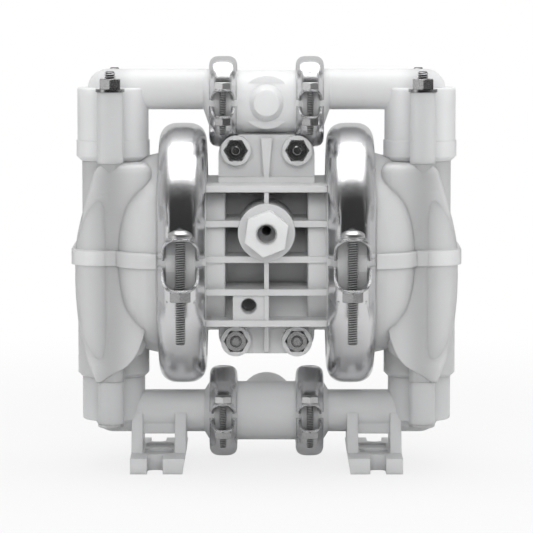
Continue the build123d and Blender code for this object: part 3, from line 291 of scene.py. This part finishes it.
class Shading:
    """A node tree under construction; node() adds any node and gives back one of its outputs."""

    def __init__(self, tree):
        self.tree = tree

    def put(self, socket, value):
        """Links a Value to a socket, or writes a constant there."""
        if isinstance(value, Value):
            self.tree.links.new(value.socket, socket)
        else:
            socket.default_value = value

    def node(self, kind, inputs=(), output=0, ramp=(), **settings):
        """Adds a node: settings and a ramp's stops first, then its inputs by place or by name."""
        made = self.tree.nodes.new("ShaderNode" + kind)
        for name, value in settings.items():
            setattr(made, name, value)
        for index, (place, grey) in enumerate(ramp):
            stop = made.color_ramp.elements[index]
            stop.position = place
            stop.color = (grey, grey, grey, 1)
        pairs = inputs.items() if isinstance(inputs, dict) else enumerate(inputs)
        for place, value in pairs:
            self.put(made.inputs[place], value)
        return Value(self, made.outputs[output])

    def eased(self, value, start, end, low=0.0, high=1.0):
        """Goes smoothly from low to high while a value goes from start to end."""
        limits = {"From Min": start, "From Max": end, "To Min": low, "To Max": high}
        return self.node("MapRange", {"Value": value, **limits}, interpolation_type="SMOOTHSTEP")


class Paint(Shading):
    """A procedural material on the principled shader."""

    def __init__(self, name, **constants):
        self.material = bpy.data.materials.new(name)
        self.material.use_nodes = True
        super().__init__(self.material.node_tree)
        self.shader = self.tree.nodes["Principled BSDF"]
        for socket, value in constants.items():
            self.shader.inputs[socket.replace("_", " ")].default_value = value

    def place(self, scale=(1, 1, 1)):
        """Object coordinates, stretched by a scale."""
        here = self.node("TexCoord", output="Object")
        return self.node("Mapping", {"Vector": here, "Scale": scale})

    def along(self, axis):
        """The object coordinate along an axis, in metres."""
        return self.node("SeparateXYZ", (self.place(),), output=axis)

    def noise(self, scale, detail=3.0, roughness=0.55, stretch=(1, 1, 1)):
        """Cloudy variation between 0 and 1; scale is in cells per metre."""
        inputs = {"Vector": self.place(stretch), "Scale": scale, "Detail": detail, "Roughness": roughness}
        return self.node("TexNoise", inputs, output="Fac")

    def shade(self, amount, dark, light, **settings):
        """A colour between two colours."""
        inputs = {"Factor": amount, 6: (*dark, 1), 7: (*light, 1)}
        return self.node("Mix", inputs, output=2, data_type="RGBA", **settings)

    def soft_edges(self, radius, bump=None, strength=0.1, distance=0.0002):
        """Rounds the look of edges, with an optional fine relief on top."""
        rounded = self.node("Bevel", {"Radius": radius}, samples=4)
        if bump is None:
            return rounded
        inputs = {"Strength": strength, "Distance": distance, "Height": bump, "Normal": rounded}
        return self.node("Bump", inputs)

    def finish(self, **varying):
        """Feeds the shader's varying sockets and gives back the material."""
        for socket, value in varying.items():
            self.put(self.shader.inputs[socket.replace("_", " ")], value)
        return self.material


def belt_glow(paint):
    """1 on the level rib round the middle of a chamber: a mask for painted light, a glow that stands for
    light through the thin moulding.
    """
    away = abs(paint.along("Z") - SHAFT_Z * MM)
    return paint.eased(away, (BELT_HALF + 0.05) * MM, (BELT_HALF + 0.55) * MM, 1.0, 0.0)


def rod_shade(paint):
    """1 in line with the tie bolts, where painted shade stands for the soft darker core they make through
    the milky wall.
    """
    reach = 14 * MM
    away = abs(abs(paint.along("X")) - TIE_X * MM)
    return paint.eased(away, 0.0, reach, 1.0, 0.0)


def moulded_plastic(name, dark, light, edge, subsurface, rough, rods=0.0, belt=0.0):
    """Milky polypropylene: cloudy tone, flow streaks, an eggshell gloss and softly rounded edges.
    Painted shade can darken it in line with the rods within, and painted light can make the belt paler."""
    depth = 20 * MM
    paint = Paint(
        name, Subsurface_Weight=subsurface, Subsurface_Radius=(depth, depth, depth), Subsurface_Scale=0.8,
        IOR=1.49, Specular_IOR_Level=0.42,
    )
    cloud = paint.noise(38, 4)
    streak = paint.noise(60, 2, stretch=(1, 1, 0.18))
    tone = cloud * 0.65 + streak * 0.35
    # Painted shade: darker in line with the tie rods inside the wall
    if rods:
        tone = tone - rod_shade(paint) * rods
    # Painted light: the belt is paler, a glow for light through the thin rib
    if belt:
        tone = tone + belt_glow(paint) * belt
    grain = paint.noise(2600, 2)
    gloss = rough + 0.12 * (paint.noise(160, 3) - 0.5)
    return paint.finish(
        Base_Color=paint.shade(tone, dark, light, clamp_factor=False),
        Roughness=gloss,
        Normal=paint.soft_edges(edge, grain, 0.12),
    )


def polished_sheet():
    """Polished stainless sheet: fine buffing streaks round the band, faint cloudiness and soft dents."""
    paint = Paint("polished_stainless", Metallic=1.0)
    streak = paint.noise(900, 3, stretch=(6, 1, 1))
    cloud = paint.noise(70, 3)
    scuff = paint.node("ValToRGB", {"Fac": paint.noise(420, 5, 0.7)}, ramp=((0.6, 0.0), (0.72, 1.0)))
    return paint.finish(
        Base_Color=paint.shade(cloud, (0.66, 0.66, 0.67), (0.80, 0.80, 0.81)),
        Roughness=0.14 + 0.06 * cloud + 0.06 * streak + 0.08 * scuff,
        Normal=paint.soft_edges(0.0025, paint.noise(120, 2), 0.10, 0.0006),
    )


def thread_crests(paint, x, y, thread):
    """1 on crests and heads, falling to 0 in the roots of upright threads at (+-x, +-y), where shade is
    painted: it follows the distance from the screw's axis."""
    off_x = abs(paint.along("X")) - x * MM
    off_y = abs(paint.along("Y")) - y * MM
    away = (off_x * off_x + off_y * off_y) ** 0.5
    root, flank = thread.radius - thread.depth, thread.radius - 0.65 * thread.depth
    return paint.eased(away, root * MM, flank * MM)


def fastener_steel(name, screws=None):
    """Plain stainless hardware: speckled wear. Screws, at (x, y, thread), are painted brighter, as painted
    light, with painted shade in the roots of their threads."""
    # Screws get a brighter colour: painted light on their threads
    light = 0.85 if screws else 0.5
    paint = Paint(name, Metallic=1.0)
    speck = paint.noise(1800, 4, 0.6)
    cloud = paint.noise(260, 3)
    tone = 0.45 + 0.55 * speck
    gloss = 0.12 + 0.14 * cloud
    # Painted shade: darker towards the roots of the threads
    if screws:
        tone = tone * thread_crests(paint, *screws)
        gloss = gloss + 0.12
    return paint.finish(
        Base_Color=paint.shade(tone, (0.02, 0.02, 0.02), (light, light, light)),
        Roughness=gloss,
        Normal=paint.soft_edges(0.0001, speck, 0.15),
    )


def ground_bar():
    """Ground shaft steel: rings of fine grinding marks along the bar."""
    paint = Paint("ground_bar", Metallic=1.0)
    rings = paint.noise(1500, 2, stretch=(8, 0.4, 0.4))
    return paint.finish(
        Base_Color=paint.shade(rings, (0.50, 0.50, 0.51), (0.66, 0.66, 0.67)),
        Roughness=0.18 + 0.14 * rings,
        Normal=paint.soft_edges(0.0003, rings, 0.1),
    )


def moulded_rubber():
    """Black moulded rubber: dull, with dusty patches and a fine grain."""
    paint = Paint("moulded_rubber", Specular_IOR_Level=0.3)
    dust = paint.noise(90, 4)
    return paint.finish(
        Base_Color=paint.shade(dust, (0.018, 0.018, 0.019), (0.05, 0.05, 0.05)),
        Roughness=0.55 + 0.2 * dust,
        Normal=paint.soft_edges(0.0003, paint.noise(3000, 2), 0.2),
    )


def smooth_fluoroplastic():
    """White ball and bushing plastic: waxy and nearly even, faintly cloudy."""
    depth = 4 * MM
    paint = Paint("white_fluoroplastic", Subsurface_Weight=0.1, Subsurface_Radius=(depth, depth, depth))
    cloud = paint.noise(120, 3)
    return paint.finish(
        Base_Color=paint.shade(cloud, (0.80, 0.80, 0.78), (0.90, 0.90, 0.88)),
        Roughness=0.3 + 0.1 * cloud,
        Normal=paint.soft_edges(0.0003),
    )


MILKY = {"edge": 0.0010, "subsurface": 0.4, "rough": 0.36}
# Natural polypropylene, with painted shade in line with the tie rods
NATURAL = moulded_plastic(
    "natural_polypropylene", (0.82, 0.825, 0.83), (0.92, 0.925, 0.93), rods=2.2, **MILKY
)
# A darker copy of natural polypropylene: painted shade on the low inlet pieces
SHADED_LOWER = moulded_plastic(
    "natural_polypropylene_shaded_lower", (0.62, 0.625, 0.63), (0.72, 0.725, 0.73), rods=1.0, **MILKY
)
# A darker copy of natural polypropylene for the chambers: painted shade of their thick walls, with painted
# rod shade and a painted glow on the belt
SHADED_CHAMBER = moulded_plastic(
    "natural_polypropylene_shaded_chamber", (0.60, 0.603, 0.607), (0.70, 0.703, 0.707), rods=1.6, belt=1.4, **MILKY
)
FILLED = moulded_plastic(
    "filled_polypropylene", (0.65, 0.653, 0.657), (0.75, 0.753, 0.757),
    edge=0.0006, subsurface=0.15, rough=0.42,
)
POLISHED = polished_sheet()
HARDWARE = fastener_steel("fastener_steel")
LARGE_SCREWS = fastener_steel("fastener_steel_large_screws", (SEAM_X, LARGE_BOLT_Y, LARGE_THREAD))
SMALL_SCREWS = fastener_steel("fastener_steel_small_screws", (PIPE_SEAM_X, SMALL_BOLT_Y, SMALL_THREAD))
TIE_SCREWS = fastener_steel("fastener_steel_tie_screws", (TIE_X, TIE_Y, TIE_THREAD))

FINISHES = {
    "polypropylene": NATURAL,
    "clamp_steel": POLISHED,
    "fastener_steel": HARDWARE,
    "rubber": moulded_rubber(),
    "ball_plastic": smooth_fluoroplastic(),
    "shaft_steel": ground_bar(),
}
FILLED_NODES = {"centre_block", "air_valve_body", "air_valve_caps"}
LOWER_NODES = {"inlet_elbow_left", "inlet_elbow_right", "inlet_tee"}


def finish_of(subpart):
    """The finish of a solid: filled polypropylene, a darker copy of natural polypropylene with painted
    shade for the low inlet pieces and for the chambers, or the one that its slot names.
    """
    if subpart["node"] in FILLED_NODES:
        return FILLED
    if subpart["node"] in LOWER_NODES:
        return SHADED_LOWER
    if subpart["node"].startswith("liquid_chamber"):
        return SHADED_CHAMBER
    return FINISHES[subpart["material_slot"]]


for subpart in frame["record"]["subparts"]:
    finishes = frame["nodes"][subpart["node"]].data.materials
    finishes.clear()
    finishes.append(finish_of(subpart))


# Fasteners


def fastener_piece(name, parts, node, material=HARDWARE):
    """A group of steel fasteners that stands for its plain CAD node."""
    piece = mesh_piece(name, parts, material)
    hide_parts(node)


def four_places(x, y):
    """The four places at (+-x, +-y)."""
    return [(side * x, end * y) for side in (-1, 1) for end in (-1, 1)]


def large_clamp_fasteners():
    """Carriage bolts and nuts of the large clamps, with rolled threads below the head."""
    shelf, tail, sunk, nut_height = 14.7, 43.0, 0.5, 5.4
    bolts, nuts = [], []
    for x, y in four_places(SEAM_X, LARGE_BOLT_Y):
        place = (x, y, SHAFT_Z)
        bolts.append(placed(domed_cap(radius=6.6, rim=0.9, height=4.2, start=shelf, way=1), place))
        bolts.append(placed(threaded_rod(LARGE_THREAD, -tail, shelf + sunk), place))
        nut = hex_bar(QUARTER_HEX, -shelf - nut_height, -shelf, HUNG_NUT_CHAMFERS, LARGE_THREAD.radius)
        nuts.append(placed(nut, place))
    fastener_piece("large_clamp_carriage_bolts", bolts, "large_clamp_bolts", LARGE_SCREWS)
    fastener_piece("large_clamp_hex_nuts", nuts, "large_clamp_nuts")


def small_clamp_fasteners(name, height):
    """Hex bolts and nuts of one pair of small clamps."""
    shelf, tail, sunk, head_height, nut_height = 8.0, 17.0, 0.3, 3.6, 4.0
    bolts, nuts = [], []
    for x, y in four_places(PIPE_SEAM_X, SMALL_BOLT_Y):
        place = (x, y, height)
        bolts.append(placed(hex_bar(SMALL_HEX, shelf, shelf + head_height, HEAD_CHAMFERS), place))
        bolts.append(placed(threaded_rod(SMALL_THREAD, -tail, shelf + sunk), place))
        nut = hex_bar(SMALL_HEX, -shelf - nut_height, -shelf, HUNG_NUT_CHAMFERS, SMALL_THREAD.radius)
        nuts.append(placed(nut, place))
    fastener_piece(f"{name}_clamp_hex_bolts", bolts, f"{name}_clamp_bolts", SMALL_SCREWS)
    fastener_piece(f"{name}_clamp_hex_nuts", nuts, f"{name}_clamp_nuts")


def tie_fasteners():
    """Long tie bolts: domed head below, smooth shank, threaded end with its nut on top."""
    washer, nut_height, end_above_nut, threaded, sunk = 1.6, 5.6, 4.0, 12.0, 0.5
    nut_low = TIE_TOP + washer
    nut_high = nut_low + nut_height
    shank_top = TIE_TOP - threaded
    bolts, nuts = [], []
    for x, y in four_places(TIE_X, TIE_Y):
        place = (x, y, 0)
        bolts.append(placed(domed_cap(radius=7.3, rim=0.9, height=2.6, start=TIE_BOTTOM, way=-1), place))
        bolts.append(placed(plain_rod(TIE_THREAD.radius, TIE_BOTTOM, shank_top), place))
        bolts.append(placed(threaded_rod(TIE_THREAD, shank_top - sunk, nut_high + end_above_nut), place))
        nut = hex_bar(QUARTER_HEX, nut_low, nut_high, TOP_NUT_CHAMFERS, TIE_THREAD.radius)
        nuts.append(placed(nut, place))
    fastener_piece("tie_rods_threaded", bolts, "tie_bolts", TIE_SCREWS)
    fastener_piece("tie_hex_nuts", nuts, "tie_nuts")


def air_valve_fasteners():
    """Bolts through the air valve, with their heads at the rear and nuts in the front pockets."""
    rearwards = (0, 1, 0)
    rear, front, head_height, threaded, sunk = 62.0, -21.0, 4.0, 14.0, 0.5
    nut_front, nut_rear = front + 0.6, front + 6.0
    bolts, nuts = [], []
    for x, rise in four_places(VALVE_BOLT_X, VALVE_BOLT_RISE):
        place = (x, 0, AIR_VALVE_Z + rise)
        for grid in (
            hex_bar(QUARTER_HEX, rear, rear + head_height, HEAD_CHAMFERS),
            plain_rod(VALVE_THREAD.radius, front + threaded, rear + sunk),
            threaded_rod(VALVE_THREAD, front, front + threaded + sunk),
        ):
            bolts.append(placed(grid, place, rearwards))
        nut = hex_bar(QUARTER_HEX, nut_front, nut_rear, POCKET_NUT_CHAMFERS, VALVE_THREAD.radius)
        nuts.append(placed(nut, place, rearwards))
    fastener_piece("air_valve_hex_bolts", bolts, "air_valve_bolts")
    fastener_piece("air_valve_hex_nuts", nuts, "air_valve_nuts")


def port_threads():
    """Female pipe threads on the walls of the liquid ports and of the three holes for air."""
    rearwards, port_end = (0, 1, 0), 34
    air_inlet, exhaust, auxiliary = (0, 71.5, AIR_VALVE_Z), (0, -58.6, 133.4), (-9.7, -42.6, 92.8)
    ridge = thread_ridge(HALF_INCH_PIPE, 17)
    liquid = [placed(ridge, (0, port_end, height), rearwards) for height in (DISCHARGE_Z, INLET_Z)]
    mesh_piece("liquid_port_threads", liquid, NATURAL)
    air = [
        placed(thread_ridge(QUARTER_PIPE, 8), air_inlet, rearwards),
        placed(thread_ridge(QUARTER_PIPE, 15), exhaust, rearwards),
        placed(thread_ridge(EIGHTH_PIPE, 12), auxiliary, rearwards),
    ]
    mesh_piece("air_port_threads", air, FILLED)


large_clamp_fasteners()
small_clamp_fasteners("discharge", DISCHARGE_Z)
small_clamp_fasteners("inlet", INLET_Z)
tie_fasteners()
air_valve_fasteners()
port_threads()


# Clamp bands


def band_section(half, low, high, steps=25):
    """Points (offset along the shaft, radius) from root to root of a rolled band:
    |offset / half| ** 3 + |rise / height| ** 3 = 1."""
    turn = np.linspace(0, math.pi, steps)
    across = np.sign(np.cos(turn)) * np.abs(np.cos(turn)) ** (2 / 3)
    return half * across, low + (high - low) * np.sin(turn) ** (2 / 3)


def flat_section(crest_half, crest_r, root_half, root_r, steps=25):
    """Points on straight flanks and a straight crest, in the same order: the offset goes as a cosine."""
    offset = root_half * np.cos(np.linspace(0, math.pi, steps))
    slope = (crest_r - root_r) / (root_half - crest_half)
    return offset, root_r + np.minimum((root_half - np.abs(offset)) * slope, crest_r - root_r)


def rolled_half(band, centre, way, first):
    """Outside of a half band: the rolled section swept round the shaft's direction from the front to the
    rear, upwards (way 1) or downwards (way -1), between the first angle and the same one at the rear.
    Towards both ends it eases into a flat section a little within the solid band."""
    start, blend, rows = math.radians(first), math.radians(14), 120
    turn = np.linspace(start, math.pi - start, rows)[:, None]
    full = np.clip(np.minimum(turn - turn[0], turn[-1] - turn) / blend, 0, 1)
    full = full * full * (3 - 2 * full)
    rolled = band_section(band.root_half + 0.15, band.root_r, band.crest_r + 0.25)
    flat = flat_section(band.crest_half - 0.4, band.crest_r - 0.3, band.root_half - 0.2, band.root_r)
    offset = flat[0] + (rolled[0] - flat[0]) * full
    radius = flat[1] + (rolled[1] - flat[1]) * full
    thin = band.sheet / 2
    offset = np.concatenate([offset, offset[:, ::-1] * (1 - thin / band.root_half)], axis=1)
    radius = np.concatenate([radius, radius[:, ::-1] - thin], axis=1)
    rise = way * np.minimum(np.sin(turn) * radius, band.crest_r)
    return facing_out(np.stack([offset, -np.cos(turn) * radius, rise], axis=-1) + np.array(centre, float))


def rolled_bands(name, seam_x, height, band, first):
    """Rounded outsides of a pair of clamp bands, in polished sheet."""
    for half, way in (("upper", 1), ("lower", -1)):
        skins = [closed_channel(rolled_half(band, (x, 0, height), way, first)) for x in (-seam_x, seam_x)]
        mesh_piece(f"{name}_band_rolled_{half}", skins, POLISHED)


rolled_bands("large", SEAM_X, SHAFT_Z, LARGE_BAND, first=16.5)
rolled_bands("discharge", PIPE_SEAM_X, DISCHARGE_Z, SMALL_BAND, first=34)
rolled_bands("inlet", PIPE_SEAM_X, INLET_Z, SMALL_BAND, first=34)


# Chambers


def softened(points, rounds=3):
    """A line with its corners cut off again and again, a quarter of each side from the corner."""
    points = np.array(points, float)
    for _ in range(rounds):
        near, far = points[:-1], points[1:]
        cut = np.stack([0.75 * near + 0.25 * far, 0.25 * near + 0.75 * far], axis=1).reshape(-1, 2)
        points = np.concatenate([points[:1], cut, points[-1:]])
    return points


WIDEST = 20.1
FRONT_Y = 37.1
# Side lines of a shoulder, outer and inner: (height, distance out from the column's axis)
OUTER_LINE = softened(
    [(48.8, 8.0), (70.8, 16.6), (98.4, WIDEST), (122.5, WIDEST), (139.4, 16.7), (171.0, 7.0)]
)
INNER_LINE = softened([(48.8, 8.0), (66.8, -22.0), (171.0, -22.0)])
# Side line of a dome: (distance from the pump's middle, radius)
DOME_LINE = softened([(59.6, 55.6), (69.8, 53.2), (81.0, 42.0), (84.3, 15.0), (84.6, 0.5)])


def hull_ring(circles, inset=0.0, columns=128):
    """The line round a group of circles (x, y, radius): at each angle, the point of the circle that
    reaches furthest that way."""
    angle = ring_angles(columns)
    out = np.stack([np.cos(angle), np.sin(angle)])
    spots = np.array(circles, float)
    reach = spots[:, :2] @ out + spots[:, 2:]
    furthest = spots[reach.argmax(axis=0)]
    return furthest[:, :2] + (furthest[:, 2:] - inset) * out.T


def shoulder_circles(reach, grown=0.0):
    """Column, tie tubes, outer corners and inner corners of a right-hand shoulder, seen from above at a
    level where it reaches so far out. The outer corners keep to a quarter of a circle: the less the
    shoulder reaches out, the further they are from its middle plane."""
    sweep_r, sweep_y, least_r, proud = 15.0, 20.6, 7.5, 0.1
    corner_r, inner_x, inner_y, inner_r = 3.0, -16.0, 31.1, 6.0
    over = min(max(reach - WIDEST + sweep_r, 0), sweep_r)
    corner_y = sweep_y + math.sqrt(sweep_r**2 - over**2)
    spots = [(LEG_X, 0, max(reach, least_r) + proud + grown)]
    for side in (-1, 1):
        spots.append((TIE_X, side * TIE_Y, TIE_TUBE_R + grown))
        spots.append((LEG_X + reach - corner_r + 0.2, side * corner_y, corner_r + grown))
        spots.append((LEG_X + inner_x, side * inner_y, inner_r + grown))
    return spots


def shoulder_skin(way):
    """The broad front of a chamber: the line round column, tubes and corners rises from the lower
    seat to the upper one, following the outer and inner side lines. The top edge is a quarter of a
    circle."""
    bottom, top, bend = 50.2, 169.8, 5.0
    turn = np.linspace(0.15, FULL_TURN / 4, 9)
    level = np.concatenate([np.linspace(bottom, top - bend, 90), top - bend + bend * np.sin(turn)])
    over = np.clip(level - (top - bend), 0, bend)
    inset = bend - np.sqrt(bend**2 - over**2)
    outer = np.interp(level, *OUTER_LINE.T)
    inner = np.interp(level, *INNER_LINE.T)
    rings = np.stack([hull_ring(shoulder_circles(reach), cut) for reach, cut in zip(outer, inset)])
    across = np.maximum(rings[..., 0], LEG_X + inner[:, None])
    depth = np.clip(rings[..., 1], inset[:, None] - FRONT_Y, FRONT_Y - inset[:, None])
    grid = np.stack([way * across, depth, level[:, None] + 0 * across], axis=-1)
    return closed_tube(facing_out(grid))


def dome_skin(way):
    """The outer wall of a chamber: its side line turned round the shaft's axis."""
    along, radius = DOME_LINE.T
    return placed(ring_grid(radius[:, None], along[:, None], 160), (0, 0, SHAFT_Z), (way, 0, 0))


def belt_skin(plan, way):
    """A level rib: a line seen from above, raised between two levels with softened edges."""
    from_edge = np.array([0.0, 0.0, 0.55, 1.15])
    inset = np.array([2.0, 0.6, 0.12, 0.0])
    level = SHAFT_Z + np.concatenate([from_edge - BELT_HALF, (BELT_HALF - from_edge)[::-1]])
    inset = np.concatenate([inset, inset[::-1]])
    middle = plan.mean(axis=0)
    share = 1 - inset[:, None, None] / np.linalg.norm(plan - middle, axis=1)[None, :, None]
    rings = middle + (plan - middle) * share
    grid = np.stack([way * rings[..., 0], rings[..., 1], level[:, None] + 0 * rings[..., 0]], axis=-1)
    return closed_tube(facing_out(grid))


def chamber_skins():
    """The moulded fronts of both chambers, fitted over their solids. Each belt stands proud of what it
    goes round, a dome and a shoulder."""
    shoulder_reach, shoulder_proud, dome_proud = 19.7, 2.1, 2.2
    shoulder_plan = hull_ring(shoulder_circles(shoulder_reach, shoulder_proud))
    outwards = np.linspace(0, dome_proud, len(DOME_LINE))
    side = DOME_LINE + np.stack([outwards, np.full_like(outwards, dome_proud)], axis=1)
    dome_plan = np.concatenate([side, side[::-1] * np.array((1, -1))])
    for name, way in (("left", -1), ("right", 1)):
        walls = [shoulder_skin(way), dome_skin(way)]
        belts = [belt_skin(plan, way) for plan in (shoulder_plan, dome_plan)]
        front = mesh_piece(f"liquid_chamber_front_{name}", walls + belts, SHADED_CHAMBER, smooth_angle=40)


chamber_skins()


# Studio


def camera():
    """A long lens from the front, a little above the pump, looking down at its middle."""
    focal_pixels, dip = 3604, 5.318
    data = bpy.data.cameras.new("photo_camera")
    data.sensor_width = 36.0
    data.lens = focal_pixels / PHOTO_SIDE * data.sensor_width
    data.clip_end = 50
    place = bpy.data.objects.new("photo_camera", data)
    place.location = (0, -2.0, 0.2967)
    place.rotation_euler = (math.radians(90 - dip), 0, 0)
    bpy.context.scene.collection.objects.link(place)
    bpy.context.scene.camera = place


def softbox(name, place, aim, size, power, mirrored=True):
    """A rectangular soft light that faces a point; one that isn't mirrored leaves bright metal dark."""
    data = bpy.data.lights.new(name, "AREA")
    data.shape = "RECTANGLE"
    data.size, data.size_y = size
    data.energy = power
    lamp = bpy.data.objects.new(name, data)
    lamp.location = place
    way = np.array(aim, float) - np.array(place, float)
    side = math.atan2(way[0], -way[1])
    lean = math.atan2(math.hypot(way[0], way[1]), -way[2])
    lamp.rotation_euler = (lean, 0, side + math.pi)
    lamp.visible_glossy = mirrored
    bpy.context.scene.collection.objects.link(lamp)


def floor():
    """A wide pale floor with the pump's shadow; away from the pump the camera sees it turn plain white."""
    reach, front, clearance = 40.0, -0.9, 0.0002
    mesh = bpy.data.meshes.new("floor")
    corners = [(-reach, front, 0), (reach, front, 0), (reach, reach, 0), (-reach, reach, 0)]
    mesh.from_pydata(corners, [], [(0, 1, 2, 3)])
    piece = bpy.data.objects.new("floor", mesh)
    piece.location.z = -clearance
    bpy.context.scene.collection.objects.link(piece)
    paint = Paint("white_floor", Roughness=0.9, Base_Color=(0.8, 0.8, 0.8, 1))
    seen = paint.node("LightPath", output="Is Camera Ray")
    here = paint.node("TexCoord", output="Object")
    away = paint.node("VectorMath", (here,), output="Value", operation="LENGTH")
    fade = paint.eased(away, 0.15, 0.7, 0.78, 1.0)
    glow = paint.node("Emission", {"Color": (1, 1, 1, 1), "Strength": 1.0})
    plain = Value(paint, paint.shader.outputs[0])
    mixed = paint.node("MixShader", (seen * fade, plain, glow))
    paint.put(paint.tree.nodes["Material Output"].inputs["Surface"], mixed)
    mesh.materials.append(paint.material)


def studio_room():
    """A white room behind the pump and a dim one at the camera's side; the camera sees plain white."""
    world = bpy.data.worlds.new("studio")
    bpy.context.scene.world = world
    world.use_nodes = True
    room = Shading(world.node_tree)
    depth = room.node("SeparateXYZ", (room.node("TexCoord", output="Generated"),), output="Y")
    limits = {"From Min": -0.6, "From Max": 0.6, "To Min": 0.04, "To Max": 0.68}
    light = room.node("MapRange", {"Value": depth, **limits})
    seen = room.node("LightPath", output="Is Camera Ray")
    background = room.tree.nodes["Background"]
    background.inputs["Color"].default_value = (1, 1, 1, 1)
    room.put(background.inputs["Strength"], light * (1 - seen) + seen)


camera()
floor()
studio_room()
softbox("overhead", place=(0, 0.06, 1.15), aim=(0, 0.06, 0), size=(1.0, 0.84), power=6.6)
softbox("front_fill", place=(0, -1.9, 0.9), aim=(0, 0, 0.12), size=(1.6, 1.2), power=22, mirrored=False)
softbox("left_side", place=(-1.3, -0.7, 0.4), aim=(0, 0, 0.12), size=(0.8, 1.2), power=3)
softbox("right_side", place=(1.3, -0.5, 0.6), aim=(0, 0, 0.12), size=(1.2, 1.2), power=4, mirrored=False)

bpy.context.scene.view_settings.view_transform = "Standard"
